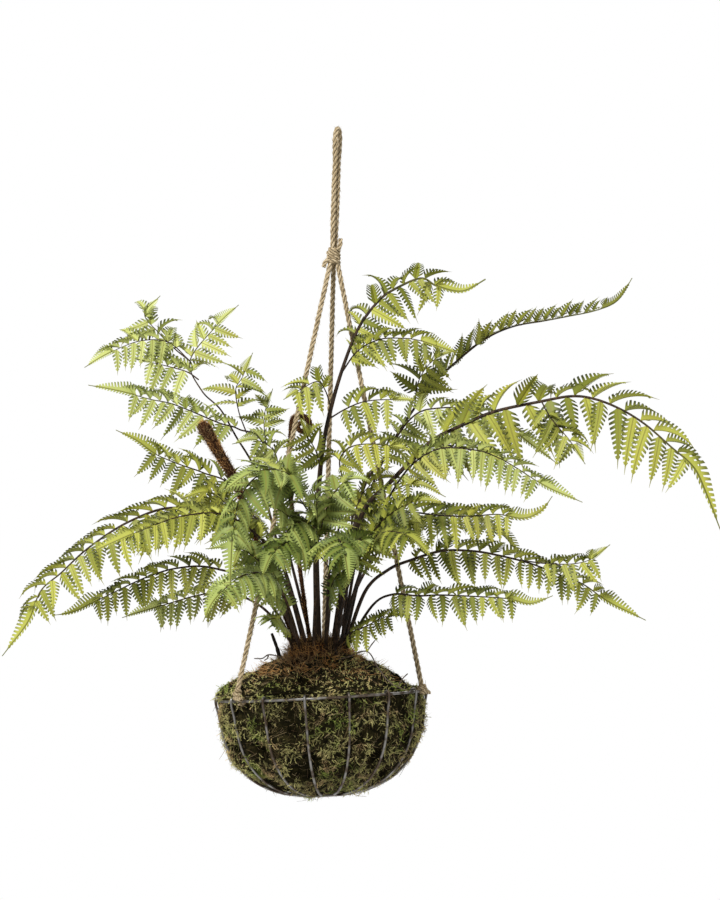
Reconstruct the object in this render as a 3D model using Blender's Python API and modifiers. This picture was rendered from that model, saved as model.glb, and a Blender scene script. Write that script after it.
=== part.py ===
"""A hanging half-round wire basket, packed and mounded with moss, that holds a fern.

Three jute ropes, tied to the rim, meet in a wrapped knot below a doubled rope loop. Fronds rise from a furry
crown on the mound and arch out all round.

Frame: metres, +Z up, the front at -Y. The origin is where a hook bears, under the top of the rope loop, and the
whole object hangs from it. Routes are written in millimetres in the drawing's own frame, whose zero is the top
of the loop. The drawing is then turned until it hangs plumb below the hook.
"""

import math

import bmesh
import bpy
from mathutils import Euler, Matrix, Vector

MM = 0.001
TOUCH_GAP = 0.0004

# Hanging gear
ROPE_DIAMETER = 0.0052
LOOP_EYE_HEIGHT = 0.024
LOOP_EYE_WIDTH = 0.0125
LOOP_STRAND_SPACING = 0.0058
LOOP_TWIST = math.radians(18)
TOP_KNOT_CENTRE = Vector((-0.0045, 0, -0.1305))
TOP_KNOT_HEIGHT = 0.0195
TOP_KNOT_RADIUS = 0.0074
ROPE_SPREAD = 0.0039
HANG_TILT = math.radians(-1.9)

# Basket, about the centre of its rim
BASKET_CENTRE = Vector((-0.0175, 0, -0.5696))
BASKET_TILT = (math.radians(-1.3), math.radians(-3.0), 0)
RIM_RADIUS = 0.103
RIM_WIRE_RADIUS = 0.0014
RIB_WIRE_RADIUS = 0.0013
RIB_COUNT = 15
FIRST_RIB_ANGLE = math.radians(-2)
BASKET_DEPTH = 0.100
BOWL_POWER = 2.5
BASE_RING_RADIUS = 0.022
HOOK_RADIUS = 0.0033
KNOTS = {  # angle round the rim, height of the middle above the wire, length, radius
    "left": (math.radians(-141), 0.006, 0.015, 0.0052),
    "right": (math.radians(-14), 0.002, 0.0125, 0.0052),
    "back": (math.radians(89), 0.005, 0.014, 0.0052),
}

# Filling and plant
LINING_RADIUS = 0.1010
LINING_DEPTH = 0.0975
LINING_WALL = 0.012
CROWN_HEIGHT = 0.0165
CROWN_BASE_RADIUS = 0.0365
CROWN_TOP_RADIUS = 0.0325
MOUND_HEIGHT = 0.0335
BLADE_THICKNESS = 0.0022
TOOTH_PITCH = 0.019
LEAF_SHARE = 0.8

# Each frond is a list of branches, the first from the crown and the others from a point on it. A branch is its
# leaflets' length, the share of its route that is bare stem, the turn of its blade from lying flat (0) to facing
# the front (90), the radius of its stem, and its route.
FRONDS = {
    "frond_upper_left": [
        (28, 0.78, 60, 1.7, [(-34, 8, -519), (-58, 30, -430), (-80, 44, -352), (-104, 50, -309),
                             (-119, 52, -283), (-138, 55, -264), (-150, 58, -234), (-124, 62, -199),
                             (-101, 66, -177)]),
        (30, 0.2, 60, 1.0, [(-150, 58, -234), (-165, 58, -222), (-182, 57, -205), (-196, 56, -186),
                            (-180, 57, -168)]),
        (30, 0.15, 60, 1.0, [(-141, 56, -253), (-153, 54, -245), (-174, 50, -239), (-187, 46, -236),
                             (-210, 40, -231), (-235, 32, -233), (-255, 26, -241)]),
    ],
    "frond_high_left": [
        (30, 0.62, 60, 1.6, [(-26, 14, -519), (-50, 26, -425), (-73, 26, -322), (-100, 24, -303),
                             (-119, 23, -297), (-150, 20, -284), (-169, 17, -277), (-189, 14, -273),
                             (-215, 10, -266), (-250, 4, -259)]),
        (30, 0.3, 60, 1.0, [(-92, 25, -307), (-100, 28, -285), (-103, 30, -263), (-96, 32, -250),
                            (-86, 34, -226)]),
        (24, 0.2, 60, 1.0, [(-70, 26, -334), (-74, 36, -308), (-74, 44, -286), (-66, 50, -262)]),
    ],
    "frond_middle_left": [
        (32, 0.56, 60, 1.6, [(-38, 4, -519), (-76, 6, -414), (-106, 4, -361), (-134, -4, -347),
                             (-159, -10, -338), (-182, -16, -328), (-200, -20, -315), (-221, -24, -304)]),
    ],
    "frond_long_left": [
        (32, 0.38, 50, 2.0, [(-38, -14, -519), (-64, -24, -462), (-88, -34, -425), (-123, -58, -392),
                             (-164, -80, -381), (-206, -96, -395), (-244, -106, -420),
                             (-270, -114, -444), (-290, -118, -462), (-302, -120, -492),
                             (-327, -124, -525)]),
    ],
    "frond_front_left": [
        (30, 0.48, 50, 1.6, [(-31, -20, -519), (-50, -66, -460), (-72, -96, -415), (-108, -118, -388),
                             (-149, -134, -388), (-190, -150, -402), (-240, -166, -424)]),
    ],
    "frond_low_left": [
        (30, 0.42, 55, 1.6, [(-43, -8, -519), (-80, -28, -460), (-124, -42, -441), (-159, -50, -441),
                             (-192, -56, -451), (-236, -62, -472), (-261, -66, -484), (-280, -68, -487)]),
    ],
    "frond_lowest_left": [
        (26, 0.4, 55, 1.5, [(-45, 1, -519), (-75, 0, -482), (-111, -4, -466), (-139, -8, -469),
                            (-165, -12, -476), (-188, -16, -483), (-215, -20, -491)]),
    ],
    "frond_front_high": [
        (34, 0.5, 30, 1.7, [(-24, -24, -519), (-22, -70, -430), (-30, -108, -372), (-50, -138, -346),
                            (-82, -166, -346), (-112, -190, -366)]),
        (30, 0.25, 45, 1.0, [(-27, -98, -386), (-50, -98, -356), (-82, -100, -338), (-114, -104, -336),
                             (-144, -110, -350)]),
        (28, 0.25, 45, 1.0, [(-22, -70, -430), (-14, -84, -392), (-2, -94, -364), (16, -102, -352),
                             (36, -108, -356)]),
    ],
    "frond_front_low": [
        (32, 0.45, 35, 1.6, [(-38, -24, -519), (-50, -84, -474), (-66, -124, -446), (-92, -166, -446),
                             (-116, -206, -466), (-128, -226, -488)]),
    ],
    "frond_small_left": [
        (22, 0.45, 45, 1.2, [(-46, -16, -519), (-53, -44, -502), (-62, -70, -490), (-76, -94, -496)]),
    ],
    "frond_front": [
        (34, 0.45, 25, 1.7, [(-12, -27, -519), (-8, -84, -440), (-2, -140, -410), (6, -196, -420),
                             (12, -240, -452)]),
        (30, 0.25, 40, 1.0, [(-8, -84, -440), (-24, -108, -420), (-44, -138, -412), (-62, -172, -424),
                             (-72, -200, -446)]),
    ],
    "frond_front_right": [
        (32, 0.45, 35, 1.6, [(-4, -25, -519), (14, -74, -446), (38, -118, -408), (66, -160, -406),
                             (92, -196, -428)]),
        (28, 0.25, 50, 1.0, [(14, -74, -446), (28, -88, -414), (50, -104, -388), (78, -120, -374),
                             (106, -134, -376)]),
    ],
    "frond_tall": [
        (40, 0.66, 60, 2.8, [(-20, -4, -519), (-22, -8, -420), (-20, -9, -374), (-15, -10, -321),
                             (-5, -14, -275), (8, -17, -233), (22, -18, -200), (41, -20, -175),
                             (58, -21, -163), (83, -22, -153), (99, -22, -161), (124, -23, -166),
                             (147, -24, -154)]),
        (34, 0.3, 60, 1.0, [(-7, -13, -283), (-12, -20, -266), (-20, -28, -256), (-34, -34, -262),
                            (-54, -38, -274)]),
        (32, 0.12, 60, 1.2, [(3, -15.5, -248), (20, -22, -225), (42, -28, -214), (64, -32, -213),
                             (80, -35, -215), (98, -38, -221), (122, -40, -229)]),
        (32, 0.2, 60, 1.2, [(-9, -12, -293), (8, -22, -283), (26, -30, -276), (48, -35, -274),
                            (80, -40, -275)]),
    ],
    "frond_middle": [
        (28, 0.66, 50, 1.6, [(4, 8, -519), (14, -4, -393), (6, -22, -358), (2, -34, -334),
                             (13, -44, -321), (34, -52, -318), (58, -58, -321), (84, -62, -330)]),
    ],
    "frond_upper_right": [
        (34, 0.52, 60, 2.0, [(-2, 14, -519), (22, 30, -374), (47, 36, -331), (66, 42, -298),
                             (96, 52, -257), (132, 62, -224), (155, 68, -208), (180, 73, -198),
                             (208, 78, -193), (234, 82, -188), (262, 86, -182), (284, 88, -172),
                             (299, 90, -149)]),
        (32, 0.16, 60, 1.0, [(77, 46, -281), (80, 34, -258), (88, 24, -242), (100, 16, -231),
                             (118, 10, -224)]),
    ],
    "frond_inner_right": [
        (30, 0.5, 55, 1.6, [(4, -2, -519), (28, 6, -380), (54, 8, -320), (77, 6, -289),
                            (102, 2, -282), (130, -2, -283), (148, -4, -290), (170, -7, -301),
                            (192, -10, -318), (218, -14, -337)]),
    ],
    "frond_long_right": [
        (38, 0.42, 60, 2.8, [(-4, -12, -519), (8, -24, -440), (26, -34, -384), (50, -42, -358),
                             (76, -50, -331), (96, -56, -313), (124, -62, -299), (155, -66, -286),
                             (201, -70, -276), (231, -72, -271), (254, -74, -274), (279, -76, -284),
                             (303, -78, -299), (327, -80, -320), (350, -82, -341), (362, -84, -366),
                             (377, -84, -404)]),
        (32, 0.14, 60, 1.0, [(201, -70, -276), (208, -80, -290), (219, -86, -304), (229, -90, -316),
                             (243, -94, -338)]),
    ],
    "frond_mid_right": [
        (30, 0.5, 55, 1.6, [(6, -14, -519), (30, -46, -420), (62, -78, -352), (96, -96, -324),
                            (134, -108, -324), (156, -112, -331), (174, -115, -341), (206, -120, -361),
                            (239, -124, -375)]),
    ],
    "frond_level_right": [
        (32, 0.42, 55, 1.6, [(2, -20, -519), (22, -46, -446), (44, -66, -402), (66, -80, -386),
                             (98, -92, -388), (129, -100, -389), (157, -106, -387), (181, -110, -391),
                             (199, -112, -384), (210, -114, -369)]),
    ],
    "frond_low_right": [
        (32, 0.34, 55, 1.9, [(8, -6, -519), (27, -22, -465), (50, -34, -443), (73, -42, -433),
                             (103, -48, -424), (133, -52, -424), (158, -56, -428), (190, -60, -436),
                             (221, -63, -448), (243, -64, -457), (269, -66, -475), (304, -68, -492)]),
        (24, 0.3, 55, 1.0, [(178, -58.5, -432.5), (206, -70, -436), (232, -78, -436), (250, -80, -431),
                            (268, -82, -417)]),
    ],
    "frond_lowest_right": [
        (30, 0.4, 50, 1.5, [(10, -16, -519), (34, -60, -478), (54, -84, -466), (78, -98, -467),
                            (101, -106, -466), (132, -114, -467), (165, -120, -469), (188, -124, -474),
                            (210, -127, -466)]),
    ],
    "frond_small_front": [
        (22, 0.4, 45, 1.2, [(-2, -30.5, -519.3), (8, -48, -508), (28, -66, -498), (48, -80, -488)]),
    ],
    "frond_back_left": [
        (36, 0.42, -10, 1.7, [(-32, 20, -519), (-60, 70, -430), (-96, 120, -384), (-140, 168, -376),
                              (-184, 210, -400), (-212, 238, -434)]),
    ],
    "frond_back": [
        (36, 0.42, -15, 1.7, [(-12, 25, -519), (-2, 84, -420), (6, 140, -374), (12, 196, -370),
                              (18, 240, -398), (22, 262, -432)]),
    ],
    "frond_back_right": [
        (36, 0.42, -10, 1.7, [(-6, 24, -519), (34, 74, -436), (80, 124, -396), (126, 168, -390),
                              (170, 204, -412), (196, 226, -446)]),
    ],
}

CLUB_ROUTE = [(-42, -2, -519), (-72, -10, -440), (-100, -22, -361), (-120, -28, -324), (-136, -31, -297)]
COIL_ROUTE = [(-28, 6, -519), (-40, 20, -430), (-50, 30, -350), (-47.5, 30, -312)]
COIL_CENTRE = Vector((-0.0365, 0.030, -0.2995))
STUB_ROUTE = [(-58, -8, -531.5), (-61, -10, -521), (-66, -13, -507)]
TWIG_LEFT_ROUTE = [(-55, -26, -532.5), (-60, -28, -529), (-69, -31, -527.5), (-75, -33, -531), (-83, -36, -531)]
TWIG_RIGHT_ROUTE = [(1, -44, -532), (10, -49, -529), (29, -60, -523), (40, -72, -539), (52, -84, -553),
                    (70, -92, -561)]

COLOURS = {  # base colour, roughness, metallic
    "jute_rope": ((0.46, 0.34, 0.19), 0.9, 0),
    "steel_wire": ((0.30, 0.31, 0.31), 0.45, 1),
    "moss": ((0.10, 0.12, 0.03), 0.95, 0),
    "soil": ((0.05, 0.03, 0.02), 0.95, 0),
    "crown_fur": ((0.12, 0.05, 0.02), 0.9, 0),
    "fern_leaf": ((0.30, 0.38, 0.07), 0.6, 0),
    "dry_twig": ((0.08, 0.05, 0.04), 0.7, 0),
}


def material(name, finish):
    """A material of the object's own, in the colour of its finish."""
    colour, roughness, metallic = COLOURS[finish]
    made = bpy.data.materials.new(name)
    made.use_nodes = True
    shader = made.node_tree.nodes["Principled BSDF"]
    shader.inputs["Base Color"].default_value = (*colour, 1)
    shader.inputs["Roughness"].default_value = roughness
    shader.inputs["Metallic"].default_value = metallic
    return made


def place(name, data, finish, parent, collection):
    """Put new mesh or curve data in the scene as one named object."""
    thing = bpy.data.objects.new(name, data)
    thing.parent = parent
    data.materials.append(material(name, finish))
    collection.objects.link(thing)
    return thing


def smooth(route, step):
    """Points about step apart on a smooth curve through the route's own points."""
    ends = [2 * route[0] - route[1], *route, 2 * route[-1] - route[-2]]
    fine = [route[0]]
    for a, b, c, d in zip(ends, ends[1:], ends[2:], ends[3:]):
        for i in range(1, 13):
            t = i / 12
            fine.append(0.5 * ((2 * b) + (c - a) * t + (2 * a - 5 * b + 4 * c - d) * t * t
                               + (3 * b - 3 * c + d - a) * t ** 3))
    walked = [0]
    for a, b in zip(fine, fine[1:]):
        walked.append(walked[-1] + (b - a).length)
    count = max(2, round(walked[-1] / step))
    return [at_distance(fine, walked, walked[-1] * i / count) for i in range(count + 1)]


def at_distance(points, walked, distance):
    """The point this far along a line of points."""
    for i in range(1, len(points)):
        if walked[i] >= distance - 1e-9:
            share = (distance - walked[i - 1]) / (walked[i] - walked[i - 1])
            return points[i - 1].lerp(points[i], share)
    return points[-1].copy()


def metres(route):
    """A route written in millimetres, in metres."""
    return [Vector(point) * MM for point in route]


def tube_curve(name, points, radius, sides=2, closed=False, swell=None):
    """A round wire or rope along the points. swell gives each point's share of the radius."""
    curve = bpy.data.curves.new(name, "CURVE")
    curve.dimensions = "3D"
    curve.bevel_depth = radius
    curve.bevel_resolution = sides
    curve.use_fill_caps = not closed
    line = curve.splines.new("POLY")
    line.points.add(len(points) - 1)
    line.use_cyclic_u = closed
    for i, point in enumerate(points):
        line.points[i].co = (*point, 1)
        line.points[i].radius = swell[i] if swell else 1
    return curve


def turned(name, profile, steps, finish, parent, collection):
    """A solid of revolution. The profile is (radius, height) and runs down its outer side."""
    mesh = bpy.data.meshes.new(name)
    edges = [(i, i + 1) for i in range(len(profile) - 1)]
    mesh.from_pydata([(radius, 0, height) for radius, height in profile], edges, [])
    thing = place(name, mesh, finish, parent, collection)
    screw = thing.modifiers.new("turn", "SCREW")
    screw.steps = steps
    screw.render_steps = steps
    screw.use_merge_vertices = True
    screw.merge_threshold = 0.00002
    return thing


def boolean(target, operand, operation):
    """Join an operand to a piece, or cut it away. The operand itself isn't a piece."""
    modifier = target.modifiers.new(operand.name, "BOOLEAN")
    modifier.operation = operation
    modifier.object = operand
    operand.hide_render = True
    operand.display_type = "WIRE"


def ring_points(radius, count):
    """Points round a level circle about the origin."""
    turns = [math.tau * i / count for i in range(count)]
    return [Vector((radius * math.cos(a), radius * math.sin(a), 0)) for a in turns]


def bowl_height(radius, rim_radius, depth):
    """How far below the rim the bowl is at this radius."""
    return -depth * (1 - (radius / rim_radius) ** BOWL_POWER) ** (1 / BOWL_POWER)


def bowl_profile(rim_radius, depth, count):
    """The bowl's outline from just under the rim to its lowest point."""
    points = []
    for i in range(1, count + 1):
        angle = math.pi / 2 * i / count
        radius = rim_radius * math.cos(angle) ** (2 / BOWL_POWER)
        height = -depth * math.sin(angle) ** (2 / BOWL_POWER)
        points.append((0 if i == count else radius, height))
    return points


def make_loop(drawing, collection):
    """The doubled rope with an eye at its top, whose ends stop on the knot."""
    knot_top = TOP_KNOT_CENTRE.z + TOP_KNOT_HEIGHT / 2 + TOUCH_GAP
    top = -ROPE_DIAMETER / 2
    eye_middle = top - LOOP_EYE_HEIGHT / 2
    points = []
    for side in (-1, 1):
        strand = []
        for i in range(16):
            share = i / 15
            height = knot_top + (eye_middle - knot_top) * share
            widen = max(0, (share - 0.8) / 0.2)
            half = LOOP_STRAND_SPACING / 2 * (1 - widen) + LOOP_EYE_WIDTH / 2 * widen
            turn = LOOP_TWIST * math.sin(math.pi * share)
            lean = TOP_KNOT_CENTRE.x * (height / TOP_KNOT_CENTRE.z)
            strand.append(Vector((lean + side * half * math.sin(turn), side * half * math.cos(turn), height)))
        arc = []
        for i in range(1, 5):
            angle = math.pi / 2 * i / 5
            lean = TOP_KNOT_CENTRE.x * (eye_middle / TOP_KNOT_CENTRE.z) * (1 - i / 5)
            arc.append(Vector((lean, side * LOOP_EYE_WIDTH / 2 * math.cos(angle),
                               eye_middle + LOOP_EYE_HEIGHT / 2 * math.sin(angle))))
        points.append(strand + arc)
    route = points[0] + [Vector((0, 0, top))] + points[1][::-1]
    place("hanging_loop", tube_curve("hanging_loop", route, ROPE_DIAMETER / 2), "jute_rope", drawing,
          collection)


def knot_profile(length, radius, wraps):
    """A wrapped knot's outline: a barrel with a groove between each turn of the rope."""
    points = [(0, length / 2)]
    for wrap in range(wraps):
        for share, depth in ((0.06, 0.84), (0.5, 1), (0.94, 0.84)):
            points.append((radius * depth, length * (0.5 - (wrap + share) / wraps)))
    return points + [(0, -length / 2)]


def make_top_knot(drawing, collection):
    """The wrapped knot that gathers the loop and the three ropes."""
    profile = knot_profile(TOP_KNOT_HEIGHT, TOP_KNOT_RADIUS, 4)
    knot = turned("top_knot", profile, 16, "jute_rope", drawing, collection)
    knot.location = TOP_KNOT_CENTRE


def make_rim(basket, collection):
    """The rim wire and the small ring that the ribs end on."""
    rim = tube_curve("rim_ring", ring_points(RIM_RADIUS, 60), RIM_WIRE_RADIUS, closed=True)
    place("rim_ring", rim, "steel_wire", basket, collection)
    base = tube_curve("base_ring", ring_points(BASE_RING_RADIUS, 24), RIB_WIRE_RADIUS, sides=1, closed=True)
    ring = place("base_ring", base, "steel_wire", basket, collection)
    ring.location.z = bowl_height(BASE_RING_RADIUS, RIM_RADIUS, BASKET_DEPTH)


def rib_points():
    """A rib's line in its own upright plane: a hook over the rim, then down the bowl to the base ring."""
    points = []
    for degrees in (195, 150, 105, 60, 20):
        angle = math.radians(degrees)
        points.append(Vector((RIM_RADIUS + HOOK_RADIUS * math.cos(angle), 0, HOOK_RADIUS * math.sin(angle))))
    points.append(Vector((RIM_RADIUS + 0.0026, 0, -0.005)))
    points.append(Vector((RIM_RADIUS + 0.0006, 0, -0.014)))
    radii = [RIM_RADIUS * share for share in (0.985, 0.95, 0.89, 0.79, 0.64, 0.44)]
    radii.append(BASE_RING_RADIUS + 2 * RIB_WIRE_RADIUS + TOUCH_GAP)
    return points + [Vector((r, 0, bowl_height(r, RIM_RADIUS, BASKET_DEPTH))) for r in radii]


def make_ribs(basket, collection):
    """Fifteen bent wires, evenly spaced round the rim."""
    for i in range(RIB_COUNT):
        name = f"rib_{i + 1:02d}"
        rib = tube_curve(name, rib_points(), RIB_WIRE_RADIUS, sides=1)
        wire = place(name, rib, "steel_wire", basket, collection)
        wire.rotation_euler.z = FIRST_RIB_ANGLE - math.tau * i / RIB_COUNT


def make_rim_knot(side, drawing, basket, collection, cutters):
    """A wrapped knot round the rim wire, and the taut rope from it up to the top knot."""
    angle, height, length, radius = KNOTS[side]
    name = f"rim_knot_{side}"
    profile = knot_profile(length, radius, 3)
    knot = turned(name, profile, 14, "jute_rope", basket, collection)
    reach = RIM_RADIUS + 0.0014
    knot.location = (reach * math.cos(angle), reach * math.sin(angle), height)
    bore = tube_curve(f"bore_{side}", ring_points(RIM_RADIUS, 60), RIM_WIRE_RADIUS + TOUCH_GAP, closed=True)
    cutter = as_mesh(place(f"bore_{side}", bore, "jute_rope", basket, cutters))
    boolean(knot, cutter, "DIFFERENCE")
    top_of_knot = knot.location + Vector((0, 0, length / 2 + 0.0012))
    end = drawing.matrix_world.inverted() @ basket.matrix_world @ top_of_knot
    start = TOP_KNOT_CENTRE + Vector((ROPE_SPREAD * math.cos(angle), ROPE_SPREAD * math.sin(angle),
                                      -TOP_KNOT_HEIGHT / 2 - 0.0012))
    points = [start.lerp(end, i / 24) for i in range(25)]
    place(f"rope_{side}", tube_curve(f"rope_{side}", points, ROPE_DIAMETER / 2), "jute_rope", drawing,
          collection)


def as_mesh(thing):
    """Turn a curve object into a mesh object, with its caps welded on, so that a Boolean can use it."""
    evaluated = thing.evaluated_get(bpy.context.evaluated_depsgraph_get())
    mesh = bpy.data.meshes.new_from_object(evaluated)
    shape = bmesh.new()
    shape.from_mesh(mesh)
    bmesh.ops.remove_doubles(shape, verts=shape.verts, dist=0.000001)
    shape.to_mesh(mesh)
    shape.free()
    made = bpy.data.objects.new(thing.name + "_mesh", mesh)
    made.parent = thing.parent
    thing.users_collection[0].objects.link(made)
    bpy.data.objects.remove(thing)
    return made


def make_filling(basket, collection):
    """The moss bowl, the root ball in it, the mound over it and the crown on top."""
    outer = [(0.0976, 0.0015), (0.0976, -0.0025), *bowl_profile(LINING_RADIUS, LINING_DEPTH, 13)[1:]]
    inner = bowl_profile(LINING_RADIUS - LINING_WALL, LINING_DEPTH - LINING_WALL, 10)[::-1]
    inner.append((LINING_RADIUS - LINING_WALL, 0.0015))
    turned("moss_lining", inner + outer, 40, "moss", basket, collection)
    root_radius = LINING_RADIUS - LINING_WALL - 0.0012
    root_depth = LINING_DEPTH - LINING_WALL - 0.0012
    roots = [(0, 0.0015), (root_radius, 0.0015), *bowl_profile(root_radius, root_depth, 9)]
    turned("root_ball", roots, 30, "soil", basket, collection)
    floor = 0.0015 + TOUCH_GAP
    mound = [(0, MOUND_HEIGHT), (0.037, MOUND_HEIGHT), (0.046, 0.0305), (0.056, 0.026), (0.069, 0.019),
             (0.082, 0.0125), (0.091, 0.007), (0.0945, floor + 0.001), (0.0935, floor), (0, floor)]
    turned("moss_mound", mound, 36, "moss", basket, collection)
    foot = MOUND_HEIGHT + TOUCH_GAP
    crown = [(0, foot + CROWN_HEIGHT), (CROWN_TOP_RADIUS, foot + CROWN_HEIGHT),
             (CROWN_BASE_RADIUS, foot + CROWN_HEIGHT * 0.7), (CROWN_BASE_RADIUS * 0.985, foot), (0, foot)]
    turned("crown", crown, 28, "crown_fur", basket, collection)


def tooth_width(share):
    """How long the leaflets are along a branch, as a share of the longest."""
    return min(1, 0.62 + 1.6 * share) * (1 - share) ** 0.55


def blade_stations(length, bare, leaf, stem):
    """A branch's sections as (distance, half width, half thickness): bare stem, toothed blade, drawn-out tip."""
    stem_end = bare * length
    steps = max(1, round(stem_end / 0.03))
    stations = [(stem_end * i / steps, stem, stem) for i in range(steps)]
    leafy = (length - stem_end) * LEAF_SHARE
    teeth = max(2, round(leafy / TOOTH_PITCH))
    for tooth in range(teeth):
        share = tooth / teeth
        stations.append((stem_end + leafy * share, max(stem, 0.0028), BLADE_THICKNESS / 2))
        reach = max(0.006, leaf * tooth_width(share) * 0.94)
        stations.append((stem_end + leafy * (share + 0.7 / teeth), reach, BLADE_THICKNESS / 2))
    stations.append((stem_end + leafy, 0.0045, BLADE_THICKNESS / 2))
    stations.append((length - (length - stem_end - leafy) * 0.4, 0.0030, BLADE_THICKNESS / 2))
    return stations


def blade_frames(points, distances, face, foot_up):
    """Where each section stands and which way it faces, as (middle, side, up), walking from the tip to the foot.

    Near the foot a stem can run almost straight at the face, so there the side before it is carried on.
    """
    length = sum((b - a).length for a, b in zip(points, points[1:]))
    side = None
    frames = []
    for distance in reversed(distances):
        i = min(len(points) - 2, int(distance / length * (len(points) - 1)))
        along = (points[min(i + 4, len(points) - 1)] - points[max(i - 4, 0)]).normalized()
        if foot_up and distance == distances[0]:
            along = foot_up
        crossed = along.cross(face)
        if side and (crossed.length < 0.5 or crossed.dot(side) < 0):
            crossed = side - along * side.dot(along)
        side = crossed.normalized()
        frames.append((points[i], side, side.cross(along)))
    return frames[::-1]


def branch_mesh(name, leaf, bare, turn, stem, route, foot_up):
    """A frond's branch, lofted through four-cornered sections from a thin stem to a wide toothed blade."""
    points = smooth(metres(route), 0.002)
    length = sum((b - a).length for a, b in zip(points, points[1:]))
    face = Vector((0, -math.sin(math.radians(turn)), math.cos(math.radians(turn))))
    stations = blade_stations(length, bare, leaf * MM, stem * MM)
    frames = blade_frames(points, [station[0] for station in stations], face, foot_up)
    shape = bmesh.new()
    rings = []
    for (distance, width, thickness), (middle, side, up) in zip(stations, frames):
        corners = (up * thickness, side * width, -up * thickness, -side * width)
        rings.append([shape.verts.new(middle + corner) for corner in corners])
    for first, second in zip(rings, rings[1:]):
        for k in range(4):
            shape.faces.new((first[k], first[(k + 1) % 4], second[(k + 1) % 4], second[k]))
    tip = shape.verts.new(points[-1])
    for k in range(4):
        shape.faces.new((rings[-1][k], rings[-1][(k + 1) % 4], tip))
    shape.faces.new(rings[0][::-1])
    bmesh.ops.triangulate(shape, faces=shape.faces)
    bmesh.ops.recalc_face_normals(shape, faces=shape.faces)
    mesh = bpy.data.meshes.new(name)
    shape.to_mesh(mesh)
    shape.free()
    return mesh


def make_frond(name, branches, drawing, basket, collection, cutters):
    """One frond: its main branch from the crown, with any side branches joined to it."""
    leaf, bare, turn, stem, route = branches[0]
    crown_up = Euler(BASKET_TILT).to_matrix() @ Vector((0, 0, 1))
    crown_top = BASKET_CENTRE + crown_up * (MOUND_HEIGHT + CROWN_HEIGHT + 2 * TOUCH_GAP)
    foot = Vector(route[0]) * MM
    foot.z = crown_top.z - (crown_up.x * (foot.x - crown_top.x) + crown_up.y * (foot.y - crown_top.y)) / crown_up.z
    route = [foot / MM, *route[1:]]
    frond = place(name, branch_mesh(name, leaf, bare, turn, stem, route, crown_up), "fern_leaf", drawing,
                  collection)
    for i, (leaf, bare, turn, stem, route) in enumerate(branches[1:]):
        part = f"{name}_branch_{i + 1}"
        mesh = branch_mesh(part, leaf, bare, turn, stem, route, None)
        boolean(frond, place(part, mesh, "fern_leaf", drawing, cutters), "UNION")


def make_croziers(drawing, collection):
    """Two young fronds, furry and not yet unrolled: one a club, one a coil."""
    club = smooth(metres(CLUB_ROUTE), 0.016)
    last = len(club) - 1
    swell = [0.34 + 0.66 * (i / last) ** 2.2 for i in range(last + 1)]
    swell[-1] = 0.55
    place("crozier_club", tube_curve("crozier_club", club, 0.0072, swell=swell), "crown_fur", drawing,
          collection)
    stalk = smooth(metres(COIL_ROUTE), 0.02)
    coil = []
    for i in range(1, 15):
        angle = math.radians(180 - 21 * i)
        reach = 0.0110 - 0.00042 * i
        coil.append(COIL_CENTRE + Vector((reach * math.cos(angle), 0, reach * math.sin(angle))))
    points = stalk + coil
    swell = [0.6] * len(stalk) + [0.8 + 0.2 * math.sin(math.pi * i / 14) for i in range(14)]
    place("crozier_coil", tube_curve("crozier_coil", points, 0.0036, swell=swell), "crown_fur", drawing,
          collection)


def make_twigs(drawing, collection):
    """A blunt old stem and two wiry twigs caught in the mound."""
    pieces = (("dead_stub", STUB_ROUTE, 0.0022, [0.8, 0.8, 1.1]), ("twig_left", TWIG_LEFT_ROUTE, 0.0008, None),
              ("twig_right", TWIG_RIGHT_ROUTE, 0.0008, None))
    for name, route, radius, swell in pieces:
        points = metres(route) if swell else smooth(metres(route), 0.007)
        place(name, tube_curve(name, points, radius, sides=1, swell=swell), "dry_twig", drawing, collection)


def main():
    for thing in list(bpy.data.objects):
        bpy.data.objects.remove(thing)
    collection = bpy.data.collections.new("hanging_moss_basket")
    cutters = bpy.data.collections.new("cutters")
    for group in (collection, cutters):
        bpy.context.scene.collection.children.link(group)

    drawing = bpy.data.objects.new("hanging_frame", None)
    drawing.matrix_world = Matrix.Rotation(HANG_TILT, 4, "Y") @ Matrix.Translation((0, 0, ROPE_DIAMETER))
    basket = bpy.data.objects.new("basket_frame", None)
    basket.parent = drawing
    basket.location = BASKET_CENTRE
    basket.rotation_euler = BASKET_TILT
    for empty in (drawing, basket):
        collection.objects.link(empty)
    bpy.context.view_layer.update()

    make_loop(drawing, collection)
    make_top_knot(drawing, collection)
    make_rim(basket, collection)
    make_ribs(basket, collection)
    for side in KNOTS:
        make_rim_knot(side, drawing, basket, collection, cutters)
    make_filling(basket, collection)
    for name, branches in FRONDS.items():
        make_frond(name, branches, drawing, basket, collection, cutters)
    make_croziers(drawing, collection)
    make_twigs(drawing, collection)


main()
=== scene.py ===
# %% [markdown]
# # A hanging wire basket of moss with a fern
# The object hangs from a hook. A doubled jute loop carries a wrapped knot, three jute ropes run from the
# knot to the rim of a half-round steel basket, and the basket is packed with sheet moss. A fern grows from
# a furry brown crown on top and arches out all round. The frame holds every size. This lesson gives each
# piece its real surface: twisted rope, bent wire, tangled moss, and about a thousand comb-edged leaflets.

# %% Load the frame
import math
from contextlib import contextmanager

import bpy
import numpy as np
from mathutils import Euler, Matrix, Vector, noise


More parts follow.
